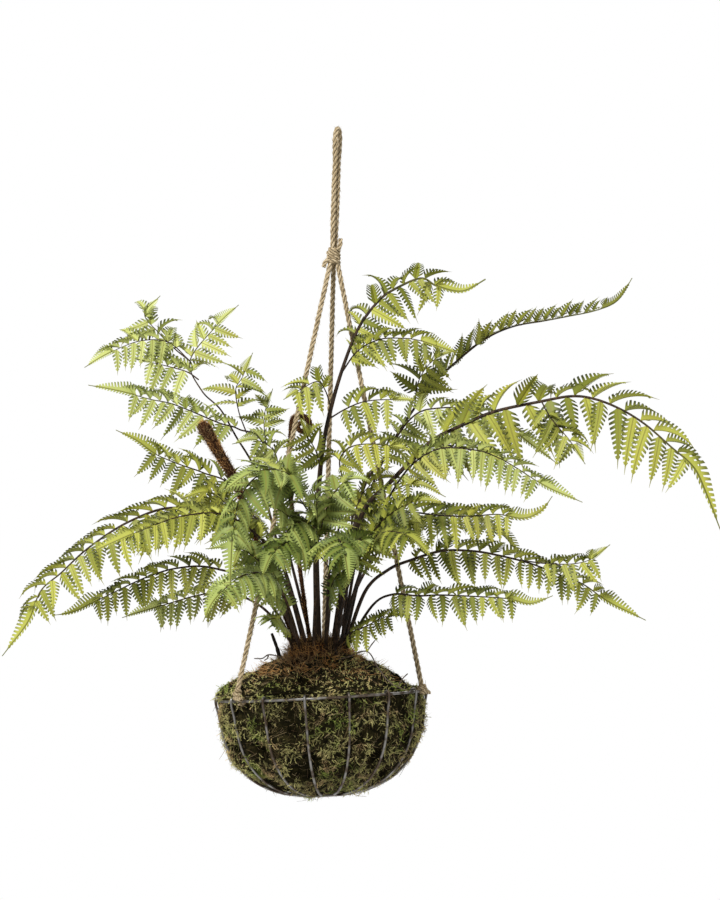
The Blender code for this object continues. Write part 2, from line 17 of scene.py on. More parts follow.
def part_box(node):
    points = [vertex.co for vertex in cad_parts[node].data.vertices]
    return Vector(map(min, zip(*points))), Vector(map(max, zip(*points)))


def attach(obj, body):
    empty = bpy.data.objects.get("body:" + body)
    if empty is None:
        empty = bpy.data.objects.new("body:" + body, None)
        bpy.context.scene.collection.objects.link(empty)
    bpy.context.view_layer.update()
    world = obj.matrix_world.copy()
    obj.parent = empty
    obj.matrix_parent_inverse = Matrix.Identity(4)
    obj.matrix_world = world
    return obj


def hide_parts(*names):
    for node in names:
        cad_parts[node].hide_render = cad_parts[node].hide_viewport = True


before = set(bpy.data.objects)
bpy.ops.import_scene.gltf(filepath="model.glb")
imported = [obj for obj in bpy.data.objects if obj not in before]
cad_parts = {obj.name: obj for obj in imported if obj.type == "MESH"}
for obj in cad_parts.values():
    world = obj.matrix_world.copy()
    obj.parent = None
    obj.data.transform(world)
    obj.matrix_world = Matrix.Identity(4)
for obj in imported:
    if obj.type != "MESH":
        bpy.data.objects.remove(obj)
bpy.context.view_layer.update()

MM = 0.001

# %% [markdown]
# ## The drawing and the plumb line
# All routes are written in a drawing whose zero is the top of the rope loop, most of them in millimetres.
# The basket is heavier on one side, so it doesn't hang square to that drawing: everything turns a little
# about the hook. One matrix does that turn, and each route goes through it once.

# %% Hanging frame
ROPE_DIAMETER = 0.0052
HANG_TILT = math.radians(-1.9)
BASKET_TILT = (math.radians(-1.3), math.radians(-3.0), 0)
HANG = Matrix.Rotation(HANG_TILT, 4, "Y") @ Matrix.Translation((0, 0, ROPE_DIAMETER))


def hung(points, scale=1.0):
    """Points written in the drawing, as they hang. The scale is MM for a route in millimetres."""
    return np.array([HANG @ Vector(point) for point in np.array(points, float) * scale])


rim_low, rim_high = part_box("rim_ring")
rim_middle = (rim_low + rim_high) / 2
BASKET = Matrix.Translation(rim_middle) @ (Matrix.Rotation(HANG_TILT, 4, "Y").to_3x3()
                                           @ Euler(BASKET_TILT).to_matrix()).to_4x4()
print("rim middle", [round(x, 4) for x in rim_middle])

# %% [markdown]
# ## Camera
# The camera looks at the object from straight in front and from far away, so that near and far fronds keep
# nearly the same size. A long lens at five metres does that. The camera shares the drawing's small turn.

# %% Camera
CAMERA_PLACE = (0.022, -5.0, -0.324)
camera = bpy.data.objects.new("camera", bpy.data.cameras.new("camera"))
bpy.context.scene.collection.objects.link(camera)
camera.data.lens = 200
camera.data.sensor_width = 36
camera.data.clip_end = 60
camera.matrix_world = HANG @ Matrix.Translation(CAMERA_PLACE) @ Matrix.Rotation(math.pi / 2, 4, "X")
bpy.context.scene.camera = camera
print("camera at", [round(x, 2) for x in camera.location])

# %% [markdown]
# ## Lines and frames
# Ropes, wires and fronds all follow lines. A line is given by a few points, and a Catmull-Rom curve goes
# smoothly through them. Each point of a line also needs a way sideways and a way up that turn no more than
# they must, or a rope would kink and a leaf would flip over.

# %% Line helpers
def along_line(points, places):
    """The points at these distances along a line."""
    walked = walk(points)
    return np.column_stack([np.interp(places, walked, points[:, k]) for k in range(3)])


def walk(points):
    """How far along a line each of its points is."""
    steps = np.linalg.norm(np.diff(points, axis=0), axis=1)
    return np.concatenate([[0], np.cumsum(steps)])


def smooth(route, step):
    """Points about step apart on a smooth curve through the route's own points."""
    route = np.array(route, float)
    knots = np.array([2 * route[0] - route[1], *route, 2 * route[-1] - route[-2]])
    t = np.linspace(0, 1, 12, endpoint=False)[:, None]
    fine = []
    for a, b, c, d in zip(knots, knots[1:], knots[2:], knots[3:]):
        fine.extend(0.5 * (2 * b + (c - a) * t + (2 * a - 5 * b + 4 * c - d) * t ** 2
                           + (3 * b - 3 * c + d - a) * t ** 3))
    fine = np.array([*fine, route[-1]])
    length = walk(fine)[-1]
    return along_line(fine, np.linspace(0, length, max(2, round(length / step)) + 1))


def unit(vectors):
    """The same ways, each one long."""
    return vectors / np.maximum(np.linalg.norm(vectors, axis=-1, keepdims=True), 1e-12)


def frames(points):
    """The ways along, sideways and up at each point of a line, carried along it without a twist."""
    along = unit(np.gradient(points, axis=0))
    side = np.array([0.31, 0.9, 0.17])
    sides = []
    for way in along:
        side = unit(side - way * side.dot(way))
        sides.append(side)
    sides = np.array(sides)
    return along, sides, np.cross(along, sides)


print("a smooth quarter turn:", len(smooth([(0, 0, 0), (0.07, 0, 0.03), (0.1, 0, 0.1)], 0.01)), "points")

# %% [markdown]
# ## Making and finishing pieces
# Small helpers keep the later cells short. Two clear the selection, because an operator acts on everything
# that is selected. Others read a mesh into arrays and write marks onto it. One turns lines into round
# tubes, the way a bevelled curve does, and one builds a mesh from arrays. The last gives a finished piece
# its material, and hides the frame's parts that it stands for.

# %% Piece helpers
def select_only(*things):
    """Deselect everything, then select these objects and make the first of them active."""
    bpy.ops.object.select_all(action="DESELECT")
    for thing in things:
        thing.select_set(True)
    bpy.context.view_layer.objects.active = things[0]


def new_primitive(name, add, **settings):
    """The mesh that this operator adds, alone in the selection."""
    bpy.ops.object.select_all(action="DESELECT")
    add(**settings)
    bpy.context.object.name = name
    return bpy.context.object


@contextmanager
def edit_mode():
    """Edit the active mesh, and then go back to object mode."""
    bpy.ops.object.mode_set(mode="EDIT")
    yield
    bpy.ops.object.mode_set(mode="OBJECT")


def select_none(kind):
    """Deselect all of the active mesh, and select by its edges or faces from here on."""
    with edit_mode():
        bpy.ops.mesh.select_mode(type=kind)
        bpy.ops.mesh.select_all(action="DESELECT")


def settle(thing):
    """Put a mesh's points and faces in a fixed order. A cut or an extrusion leaves them in a chance one."""
    mesh = thing.data
    points = rows_of(mesh.vertices)
    order = np.lexsort(points.T[::-1])
    place = np.argsort(order)
    faces = []
    for face in mesh.polygons:
        corners = [int(place[k]) for k in face.vertices]
        first = corners.index(min(corners))
        faces.append(corners[first:] + corners[:first])
    mesh.clear_geometry()
    mesh.from_pydata(points[order].tolist(), [], sorted(faces))
    mesh.update()


def cut_off(keep_below):
    """Cut the active mesh at its own level plane, and close it there only if its upper part is kept."""
    with edit_mode():
        bpy.ops.mesh.select_all(action="SELECT")
        bpy.ops.mesh.bisect(plane_co=(0, 0, 0), plane_no=(0, 0, 1), clear_outer=keep_below,
                            clear_inner=not keep_below, use_fill=not keep_below)
    settle(bpy.context.object)


def new_object(name, data):
    """An object for this data, in the scene."""
    thing = bpy.data.objects.new(name, data)
    bpy.context.scene.collection.objects.link(thing)
    return thing


def rows_of(items, field="co", kind=float):
    """One field of all of a mesh's points or faces, as rows of three."""
    values = np.empty(3 * len(items), kind)
    items.foreach_get(field, values)
    return values.reshape(-1, 3)


def set_marks(mesh, marks):
    """Store three numbers for each point, for the piece's material."""
    attribute = mesh.attributes.new("marks", "FLOAT_VECTOR", "POINT")
    attribute.data.foreach_set("vector", np.asarray(marks, np.float32).ravel())


def tubes(name, lines, widths, sides=2, closed=False):
    """Round tubes along lines, as one mesh. widths gives a radius for each point of each line."""
    curve = bpy.data.curves.new(name, "CURVE")
    curve.dimensions = "3D"
    curve.bevel_depth = 1
    curve.bevel_resolution = sides
    curve.use_fill_caps = not closed
    for line, width in zip(lines, widths):
        spline = curve.splines.new("POLY")
        spline.points.add(len(line) - 1)
        spline.points.foreach_set("co", np.column_stack([line, np.ones(len(line))]).ravel())
        spline.points.foreach_set("radius", np.broadcast_to(width, len(line)).astype(float))
        spline.use_cyclic_u = closed
    select_only(new_object(name, curve))
    bpy.ops.object.convert(target="MESH")
    with edit_mode():
        bpy.ops.mesh.select_all(action="SELECT")
        bpy.ops.mesh.remove_doubles(threshold=0.000001)
    bpy.ops.object.shade_smooth_by_angle(angle=math.radians(50))
    return bpy.context.object


def mesh_piece(name, points, triangles, marks):
    """A new object from arrays of points, triangles and marks."""
    mesh = bpy.data.meshes.new(name)
    mesh.vertices.add(len(points))
    mesh.vertices.foreach_set("co", np.asarray(points, np.float32).ravel())
    mesh.loops.add(3 * len(triangles))
    mesh.loops.foreach_set("vertex_index", np.asarray(triangles, np.int32).ravel())
    mesh.polygons.add(len(triangles))
    mesh.polygons.foreach_set("loop_start", np.arange(0, 3 * len(triangles), 3, dtype=np.int32))
    mesh.update(calc_edges=True)
    set_marks(mesh, marks)
    return new_object(name, mesh)


def finish_piece(thing, finish, slot, *nodes):
    """Give a finished piece its material, and hide the frame's nodes that it replaces. The slot is not used.
    """
    thing.data.materials.clear()
    thing.data.materials.append(finish)
    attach(thing, "root")
    if nodes:
        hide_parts(*nodes)
    print(f"{thing.name}: {len(thing.data.vertices)} points, {len(thing.data.polygons)} faces")


# %% [markdown]
# ## Shader maths
# A material here is a few sentences of arithmetic on patterns. This class wraps one socket of a shader
# node, so that `1 - mask` or `grain * 0.3` adds the Math node that does it. Other nodes come from its `add`
# method.

# %% Sockets with arithmetic
class Socket:
    """A shader socket that arithmetic works on. Without a socket, it is only where nodes are added."""

    def __init__(self, tree, socket=None):
        self.tree = tree
        self.socket = socket

    def add(self, kind, settings, inputs, output=0):
        """Add a node: its settings first, then the numbers, colours or other sockets that go into it."""
        node = self.tree.nodes.new("ShaderNode" + kind)
        for setting, value in settings.items():
            if setting == "stops":
                self.set_stops(node.color_ramp, value)
            else:
                setattr(node, setting, value)
        for place, value in inputs.items():
            if isinstance(value, Socket):
                self.tree.links.new(node.inputs[place], value.socket)
            else:
                node.inputs[place].default_value = value
        return Socket(self.tree, node.outputs[output])

    @staticmethod
    def set_stops(ramp, stops):
        """Give a ramp these (place, colour) stops."""
        for place, _ in stops[1:-1]:
            ramp.elements.new(place)
        ramp.elements[0].position = stops[0][0]
        ramp.elements[-1].position = stops[-1][0]
        for element, (_, colour) in zip(ramp.elements, stops):
            element.color = (*colour, 1)

    def math(self, operation, *values):
        return self.add("Math", {"operation": operation}, dict(enumerate(values)))

    def __add__(self, other):
        return self.math("ADD", self, other)

    def __sub__(self, other):
        return self.math("SUBTRACT", self, other)

    def __rsub__(self, other):
        return self.math("SUBTRACT", other, self)

    def __mul__(self, other):
        return self.math("MULTIPLY", self, other)

    __radd__ = __add__
    __rmul__ = __mul__

    def above(self, low, high):
        """0 below low, 1 above high, and a soft step between."""
        return self.add("MapRange", {"interpolation_type": "SMOOTHSTEP"}, {0: self, 1: low, 2: high})

    def ramp(self, *stops):
        """A colour for each place from 0 to 1."""
        return self.add("ValToRGB", {"stops": stops}, {0: self})

    def mix(self, low, high):
        """The first colour where this is 0 and the second where it is 1."""
        ends = {6: low, 7: high}
        ends = {k: v if isinstance(v, Socket) else (*v, 1) for k, v in ends.items()}
        return self.add("Mix", {"data_type": "RGBA"}, {0: self, **ends}, 2)

    def to(self, place):
        """Feed this into the material's own shader."""
        self.tree.links.new(self.tree.nodes["Principled BSDF"].inputs[place], self.socket)


def new_material(name, **settings):
    """A material, and a Socket to build its nodes from. The settings are the shader's constant values."""
    material = bpy.data.materials.new(name)
    material.use_nodes = True
    shader = material.node_tree.nodes["Principled BSDF"]
    for setting, value in settings.items():
        shader.inputs[setting.replace("_", " ")].default_value = value
    return material, Socket(material.node_tree)


def object_noise(nodes, scale, detail=3, stretch=(1, 1, 1), roughness=0.5):
    """Noise fixed to the object, with features about 1 / scale metres across."""
    where = nodes.add("TexCoord", {}, {}, "Object")
    turned = nodes.add("Mapping", {}, {"Vector": where, "Scale": stretch})
    return nodes.add("TexNoise", {}, {"Vector": turned, "Scale": scale, "Detail": detail,
                                      "Roughness": roughness})


def marks_of(nodes):
    """The three numbers that a piece's points carry: along, across and tint."""
    vector = nodes.add("Attribute", {"attribute_name": "marks"}, {}, "Vector")
    return [nodes.add("SeparateXYZ", {}, {0: vector}, k) for k in range(3)]


def roughen(nodes, height, distance, strength=1.0):
    """Raise and lower the surface in the shading by this height, in metres at full strength."""
    nodes.add("Bump", {}, {"Height": height, "Distance": distance, "Strength": strength}).to("Normal")


print("shader helpers are ready")

# %% [markdown]
# ## Jute
# Jute is a dull straw colour. Its fibres run along each strand, so the colour is streaked. The gaps between
# strands get painted shade: the rope's mesh carries how deep in a gap each point lies, and the material
# darkens towards near black by it.

# %% Jute material
jute, nodes = new_material("jute", Roughness=0.92, Specular_IOR_Level=0.15)
depth, _, tint = marks_of(nodes)
streaks = object_noise(nodes, 900, 2, (1, 1, 0.22))
patches = object_noise(nodes, 60)
shade = streaks * 0.62 + patches * 0.25 + tint * 0.2 - 0.03
body = shade.ramp((0.25, (0.17, 0.12, 0.063)), (0.5, (0.44, 0.34, 0.20)), (0.78, (0.76, 0.64, 0.45)))
# Painted shade: the gaps between strands darken towards near black by how deep in a gap each point lies.
depth.above(0.1, 0.95).mix((0.045, 0.030, 0.014), body).to("Base Color")
roughen(nodes, streaks, 0.0006, 0.8)
print("jute is ready")

# %% [markdown]
# ## Twisted rope
# A three-strand rope could be a smooth tube with stripes painted on it, but its outline would stay
# straight. Here three strands really wind round the rope's own line, once in every lay, so that the edge is
# notched and light catches each strand. Short loose hairs stand off it, as they do on real jute.

# %% Rope maker
ROPE_LAY = 0.0195
ROPE_STEP = 0.0013
STRANDS = 3
STRAND_REACH = 0.265  # of the rope's diameter, like the next two
STRAND_RADIUS = 0.245
HAIR_ROOT = 0.47
HAIR_RADII = (0.00010, 0.00008, 0.00003)
HAIRS_PER_METRE = 900
random = np.random.default_rng(7)


def strand_lines(line, diameter, lay):
    """The middle lines of the strands that wind round a rope's line."""
    _, side, up = frames(line)
    turns = math.tau * walk(line) / lay
    lines = []
    for k in range(STRANDS):
        turn = (turns + math.tau * k / STRANDS)[:, None]
        lines.append(line + STRAND_REACH * diameter * (np.cos(turn) * side + np.sin(turn) * up))
    return lines


def hair_lines(line, diameter):
    """Short loose fibres that start on a rope's surface and lean away along it."""
    lines = []
    along, side, up = frames(line)
    margin = min(5, len(line) // 3)
    for _ in range(int(HAIRS_PER_METRE * walk(line)[-1])):
        i = random.integers(margin, len(line) - margin)
        turn = random.uniform(0, math.tau)
        out = math.cos(turn) * side[i] + math.sin(turn) * up[i]
        lean = along[i] * random.choice((-1, 1)) * random.uniform(0.6, 1.6)
        reach = diameter * random.uniform(0.12, 0.42)
        root = line[i] + out * diameter * HAIR_ROOT
        lines.append(np.array([root, root + (out * 0.7 + lean) * reach * 0.6,
                               root + (out * 0.9 + lean * 1.7) * reach]))
    return lines


def rope(name, line, diameter=ROPE_DIAMETER, lay=ROPE_LAY, more=()):
    """A twisted rope along a line, as one mesh with its hairs. more are lines of the same piece."""
    strands = []
    hairs = []
    for part in (line, *more):
        strands += strand_lines(part, diameter, lay)
        hairs += hair_lines(part, diameter)
    widths = [STRAND_RADIUS * diameter] * len(strands) + [np.array(HAIR_RADII)] * len(hairs)
    made = tubes(name, strands + hairs, widths, sides=1)
    mark_gap_shade(made, np.concatenate([line, *more]), diameter)
    return made


def mark_gap_shade(thing, spine, diameter):
    """Mark how far out from the rope's line each point is, from 0 in a gap to 1 outside, for the painted
    shade in the gaps, and a tint.
    """
    points = rows_of(thing.data.vertices)
    out = np.array([np.linalg.norm(spine - point, axis=1).min() for point in points]) / (diameter / 2)
    out_of_gap_shade = np.clip(out * 1.35 - 0.35, 0, 1)
    set_marks(thing.data, np.column_stack([out_of_gap_shade, out, random.random(len(points))]))


print("one lay of rope is", round(ROPE_LAY / MM, 1), "mm long")

# %% [markdown]
# ## The loop and the three ropes
# The loop is one length of rope, bent double into a small eye, and both its ends go into the top knot. The
# two strands cross slightly on the way down. The three ropes hang taut and straight from the knot to the
# rim.

# %% Loop
TOP_KNOT_CENTRE = Vector((-0.0045, 0, -0.1305))
TOP_KNOT_HEIGHT = 0.0195
LOOP_TUCK = 0.0035
EYE_HEIGHT = 0.024
EYE_WIDTH = 0.0125
STRAND_SPACING = 0.0058
LOOP_TURN = math.radians(22)
LOOP_TWIST = math.radians(18)


def loop_side(side):
    """Half of the loop's line, from the knot up to just short of its top."""
    knot_top = TOP_KNOT_CENTRE.z + TOP_KNOT_HEIGHT / 2 - LOOP_TUCK
    eye_middle = -ROPE_DIAMETER / 2 - EYE_HEIGHT / 2
    points = []
    for share in np.linspace(0, 1, 16):
        height = knot_top + (eye_middle - knot_top) * share
        widen = max(0, (share - 0.8) / 0.2)
        half = STRAND_SPACING / 2 * (1 - widen) + EYE_WIDTH / 2 * widen
        turn = LOOP_TURN + LOOP_TWIST * math.sin(math.pi * share)
        lean = TOP_KNOT_CENTRE.x * height / TOP_KNOT_CENTRE.z
        points.append((lean + side * half * math.sin(turn), side * half * math.cos(turn), height))
    for i in range(1, 5):
        angle = math.pi / 2 * i / 5
        lean = TOP_KNOT_CENTRE.x * eye_middle / TOP_KNOT_CENTRE.z * (1 - i / 5)
        half = EYE_WIDTH / 2 * math.cos(angle)
        points.append((lean + side * half * math.sin(LOOP_TURN), side * half * math.cos(LOOP_TURN),
                       eye_middle + EYE_HEIGHT / 2 * math.sin(angle)))
    return points


loop_route = loop_side(-1) + [(0, 0, -ROPE_DIAMETER / 2)] + loop_side(1)[::-1]
loop_line = smooth(hung(loop_route), ROPE_STEP)
loop = rope("hanging_loop_rope", loop_line)
finish_piece(loop, jute, "jute_rope", "hanging_loop")

# %% Three ropes
ROPE_SPREAD = 0.0039
ROPE_TUCK = 0.004
KNOT_REACH = 0.1044
KNOTS = {  # angle round the rim, height of the middle above the wire, length
    "left": (math.radians(-141), 0.006, 0.015),
    "right": (math.radians(-14), 0.002, 0.0125),
    "back": (math.radians(89), 0.005, 0.014),
}
for name, (angle, height, length) in KNOTS.items():
    start = HANG @ (TOP_KNOT_CENTRE + Vector((ROPE_SPREAD * math.cos(angle), ROPE_SPREAD * math.sin(angle),
                                              -TOP_KNOT_HEIGHT / 2 + ROPE_TUCK)))
    end = BASKET @ Vector((KNOT_REACH * math.cos(angle), KNOT_REACH * math.sin(angle),
                           height + length / 2 - ROPE_TUCK))
    line = smooth([start, start.lerp(end, 0.5), end], ROPE_STEP)
    made = rope(f"rope_{name}_jute", line)
    finish_piece(made, jute, "jute_rope", f"rope_{name}")
    print(name, "rope", round(walk(line)[-1], 3), "m")

# %% [markdown]
# ## Wrapped knots
# Each knot is the same rope, wound tightly round the ropes that it holds. The winding is a coil whose turns
# lie one rope apart. The cut ends stick out a little. The rim's knots also take one turn round the wire.

# %% Top knot
def winding(middle, axis, radius, height, turns, first=0.0):
    """A coil's line round an axis, from its top down, with its ends tucked in."""
    axis = unit(np.array(axis, float))
    side = unit(np.cross(axis, (0.2, 1, 0.1)))
    up = np.cross(axis, side)
    points = []
    for share in np.linspace(0, 1, int(24 * turns) + 1):
        turn = first + math.tau * turns * share
        tuck = 1 - 0.5 * max(0, abs(2 * share - 1) - 0.9) / 0.1
        points.append(np.array(middle) + axis * height * (0.5 - share)
                      + radius * tuck * (math.cos(turn) * side + math.sin(turn) * up))
    return smooth(points, ROPE_STEP)


KNOT_ROPE = 0.0048
KNOT_LAY = 0.015
KNOT_RADIUS = 0.0050
KNOT_TURNS = 4
TAIL_ROUTES = (
    [(0.000, -0.0040, -0.1240), (0.002, -0.0060, -0.1195), (0.0025, -0.0062, -0.1130)],
    [(-0.009, -0.0040, -0.1330), (-0.0125, -0.0048, -0.1362), (-0.0145, -0.005, -0.1412)],
)
drawing_up = HANG.to_3x3() @ Vector((0, 0, 1))
coil = winding(HANG @ TOP_KNOT_CENTRE, drawing_up, KNOT_RADIUS, TOP_KNOT_HEIGHT - KNOT_ROPE, KNOT_TURNS)
tails = [smooth(hung(route), ROPE_STEP) for route in TAIL_ROUTES]
knot = rope("top_knot_winding", coil, KNOT_ROPE, KNOT_LAY, tails)
finish_piece(knot, jute, "jute_rope", "top_knot")

# %% Rim knots
RIM_KNOT_ROPE = 0.0042
RIM_KNOT_LAY = 0.014
RIM_KNOT_RADIUS = 0.0030
RIM_KNOT_TURNS = 2.6
RIM_KNOT_ENDS = 0.0044  # how much shorter the coil's middle line is than its knot
WIRE_TURN = 0.8  # the share of a whole turn that the rope takes round the wire
for name, (angle, height, length) in KNOTS.items():
    out = Vector((math.cos(angle), math.sin(angle), 0))
    round_rim = Vector((-math.sin(angle), math.cos(angle), 0))
    middle = BASKET @ (out * KNOT_REACH + Vector((0, 0, height)))
    axis = BASKET.to_3x3() @ Vector((0, 0, 1))
    coil = winding(middle, axis, RIM_KNOT_RADIUS, length - RIM_KNOT_ENDS, RIM_KNOT_TURNS, first=1.0)
    turn = []
    for share in np.linspace(0, 1, 14):
        swing = math.tau * WIRE_TURN * share + 0.6
        turn.append(BASKET @ (out * (KNOT_REACH - 0.0014 + RIM_KNOT_RADIUS * math.cos(swing))
                              + round_rim * (0.0062 - 0.003 * share)
                              + Vector((0, 0, RIM_KNOT_RADIUS * math.sin(swing)))))
    tail = [middle + axis * -0.001 - BASKET.to_3x3() @ round_rim * 0.003,
            middle - axis * 0.003 + BASKET.to_3x3() @ (out * 0.004 + round_rim * 0.007),
            middle - axis * 0.0045 + BASKET.to_3x3() @ (out * 0.0045 + round_rim * 0.0115)]
    knot = rope(f"rim_knot_{name}_winding", coil, RIM_KNOT_ROPE, RIM_KNOT_LAY,
                [smooth(turn, ROPE_STEP), smooth(tail, ROPE_STEP)])
    finish_piece(knot, jute, "jute_rope", f"rim_knot_{name}")

# %% [markdown]
# ## Steel wire
# The basket is plain steel wire with a dull grey skin, a little darker where damp moss has stained it. It
# is a metal, so it gets most of its look from what it reflects. Noise moves its roughness and a brown
# stain.

# %% Wire material
steel, nodes = new_material("steel", Metallic=0.85)
stain = object_noise(nodes, 90, 4)
stain.above(0.38, 0.62).mix((0.27, 0.26, 0.245), (0.085, 0.06, 0.042)).to("Base Color")
(stain * 0.4 + 0.22).to("Roughness")
roughen(nodes, object_noise(nodes, 700), 0.0003, 0.4)
print("steel is ready")

# %% [markdown]
# ## Rim, ribs and base ring
# Rings are tori. A rib is one bent wire: it hooks over the rim and then follows the bowl down to the base
# ring. One rib is modelled in its own upright plane and copied round fifteen times, each copy with its own
# mesh.

# %% Rings
RIM_RADIUS = 0.103
RIM_WIRE = 0.0014
RIB_WIRE = 0.0013
BASKET_DEPTH = 0.100
BOWL_POWER = 2.5
BASE_RING_RADIUS = 0.022


def bowl_height(radius):
    """How high the bowl is at this radius, from its rim at 0 down."""
    return -BASKET_DEPTH * (1 - (radius / RIM_RADIUS) ** BOWL_POWER) ** (1 / BOWL_POWER)


def ring(name, radius, wire, height, node):
    """A closed wire ring on the basket's axis."""
    made = new_primitive(name, bpy.ops.mesh.primitive_torus_add, major_radius=radius, minor_radius=wire,
                         major_segments=160, minor_segments=12)
    made.data.transform(BASKET @ Matrix.Translation((0, 0, height)))
    bpy.ops.object.shade_smooth()
    finish_piece(made, steel, "steel_wire", node)


ring("rim_wire", RIM_RADIUS, RIM_WIRE, 0, "rim_ring")
ring("base_wire", BASE_RING_RADIUS, RIB_WIRE, bowl_height(BASE_RING_RADIUS), "base_ring")

# %% Ribs
RIB_COUNT = 15
FIRST_RIB = math.radians(-2)
HOOK = 0.0033
rib_route = []
for degrees in (195, 150, 105, 60, 20):
    angle = math.radians(degrees)
    rib_route.append((RIM_RADIUS + HOOK * math.cos(angle), 0, HOOK * math.sin(angle)))
rib_route += [(RIM_RADIUS + 0.0026, 0, -0.005), (RIM_RADIUS + 0.0006, 0, -0.014)]
for share in (0.985, 0.95, 0.89, 0.79, 0.64, 0.44):
    rib_route.append((RIM_RADIUS * share, 0, bowl_height(RIM_RADIUS * share)))
foot = BASE_RING_RADIUS + 2 * RIB_WIRE + 0.0004
rib_route.append((foot, 0, bowl_height(foot)))
rib = tubes("rib_master", [smooth(rib_route, 0.002)], [RIB_WIRE])
for i in range(RIB_COUNT):
    wire = new_object(f"rib_wire_{i + 1:02d}", rib.data.copy())
    wire.data.transform(BASKET @ Matrix.Rotation(FIRST_RIB - math.tau * i / RIB_COUNT, 4, "Z"))
    finish_piece(wire, steel, "steel_wire", f"rib_{i + 1:02d}")
bpy.data.objects.remove(rib)

# %% [markdown]
# ## Copies that bend
# Moss sprigs, straw, fur and leaflets are all small shapes that repeat with a change of size and bend. Each
# is modelled once, lying along X from 0 to 1, and this function lays out any number of bent copies at once.
# A copy starts at its root, runs along its own way and turns towards its own up by its bend.

# %% Bent copies
def take_shape(thing):
    """The points and triangles of a master shape, and X as its first mark. Its object is then removed."""
    select_only(thing)
    with edit_mode():
        bpy.ops.mesh.select_all(action="SELECT")
        bpy.ops.mesh.quads_convert_to_tris()
    points = rows_of(thing.data.vertices)
    triangles = rows_of(thing.data.polygons, "vertices", int)
    bpy.data.objects.remove(thing)
    return points, triangles, points[:, 0]


def bent_copies(shape, root, way, up, length, width, bend, sweep=0.0, fold=0.0, tint=0.5):
    """The points, triangles and marks of copies. Roots and ways are rows, and sizes are one a copy."""
    points, triangles, first_mark = shape
    x, y, z = points.T
    count = len(root)
    length, width, bend, sweep, fold, tint = (np.broadcast_to(value, count)[:, None]
                                              for value in (length, width, bend, sweep, fold, tint))
    way = unit(way)
    side = unit(np.cross(up, way))
    up = np.cross(way, side)
    bend = np.where(np.abs(bend) < 0.001, 0.001, bend)
    turned = bend * x
    forward = length * np.sin(turned) / bend
    rise = length * (1 - np.cos(turned)) / bend
    lateral = width * y * np.cos(fold) + length * sweep * x ** 2 / 2
    lift = width * (np.abs(y) * np.sin(fold) + z)
    forward = forward - lift * np.sin(turned)
    rise = rise + lift * np.cos(turned)
    placed = (root[:, None] + forward[..., None] * way[:, None] + rise[..., None] * up[:, None]
              + lateral[..., None] * side[:, None])
    faces = triangles[None] + (np.arange(count) * len(points))[:, None, None]
    marks = [np.broadcast_to(mark, (count, len(x))) for mark in (first_mark, np.abs(y), tint)]
    return placed.reshape(-1, 3), faces.reshape(-1, 3), np.stack(marks, axis=-1).reshape(-1, 3)


def joined(parts):
    """Several sets of copies as one."""
    points, faces, marks = zip(*parts)
    before = np.cumsum([0] + [len(part) for part in points])
    faces = [part + start for part, start in zip(faces, before)]
    return np.concatenate(points), np.concatenate(faces), np.concatenate(marks)


def scatter(thing, count, keep=None):
    """Chance places on a surface, evenly spread, and the way out of it at each."""
    mesh = thing.data
    mesh.calc_loop_triangles()
    a, b, c = rows_of(mesh.vertices)[rows_of(mesh.loop_triangles, "vertices", int)].transpose(1, 0, 2)
    out = np.cross(b - a, c - a)
    area = np.linalg.norm(out, axis=1)
    if keep is not None:
        area = area * keep((a + b + c) / 3, unit(out))
    picked = random.choice(len(area), count, p=area / area.sum())
    u, v = random.random((2, count, 1))
    u, v = np.where(u + v > 1, 1 - u, u), np.where(u + v > 1, 1 - v, v)
    return a[picked] + u * (b - a)[picked] + v * (c - a)[picked], unit(out)[picked]


def noise_at(points, scale, shift=0.0):
    """Smooth noise from about -1 to 1 at each point, with features scale metres across."""
    return np.array([noise.noise(Vector(point) / scale + Vector((shift, -shift, shift))) for point in points])


def lying(out, rise=0.5, drift=(0, 0, 0)):
    """Chance ways that lie along a surface, lifted off it by rise, and drawn a little towards drift."""
    way = random.normal(size=out.shape) + np.array(drift)
    way = unit(way - out * (way * out).sum(axis=1, keepdims=True))
    return unit(way + out * rise)


print("bent copies are ready")

# %% [markdown]
# ## Moss colours
# Sheet moss is never one green. It is dark olive and brown where it is dry, and bright green in a few living
# patches. Its hollows are in shade, and the body under the sprigs is painted nearly black as that shade. The
# sprigs take their colour from large soft patches and from their own chance tint, and each is painted darker
# towards its root, as shade deep in the tangle.

# %% Moss materials
# Painted shade: the bed under the sprigs is nearly black, standing in for the shade in the moss's hollows.
moss_bed_shade, nodes = new_material("moss_bed_shade", Roughness=1.0, Specular_IOR_Level=0.05)
bed = object_noise(nodes, 170, 5, roughness=0.65)
black = bed.ramp((0.35, (0.003, 0.0025, 0.001)), (0.55, (0.014, 0.012, 0.004)), (0.75, (0.050, 0.040, 0.014)))
black.to("Base Color")
roughen(nodes, bed, 0.004)

moss_sprig, nodes = new_material("moss_sprig", Roughness=0.8, Specular_IOR_Level=0.2)
along, _, tint = marks_of(nodes)
patch = object_noise(nodes, 24, 3)
dry = object_noise(nodes, 55, 3, roughness=0.6)
green = tint.mix((0.045, 0.042, 0.010), (0.84, 0.77, 0.31))
bright = tint.mix((0.075, 0.110, 0.016), (0.46, 0.55, 0.12))
brown = tint.mix((0.075, 0.043, 0.016), (0.88, 0.64, 0.32))
colour = dry.above(0.50, 0.66).mix(patch.above(0.50, 0.64).mix(green, bright), brown)
# Painted shade: each sprig darkens to near black towards its root, as the shade deep in the tangle.
(1 - along).above(0.35, 0.95).mix(colour, (0.006, 0.005, 0.002)).to("Base Color")

straw, nodes = new_material("straw", Roughness=0.7, Specular_IOR_Level=0.2)
_, _, tint = marks_of(nodes)
tint.ramp((0, (0.06, 0.035, 0.015)), (0.5, (0.17, 0.115, 0.05)), (1, (0.46, 0.36, 0.20))).to("Base Color")

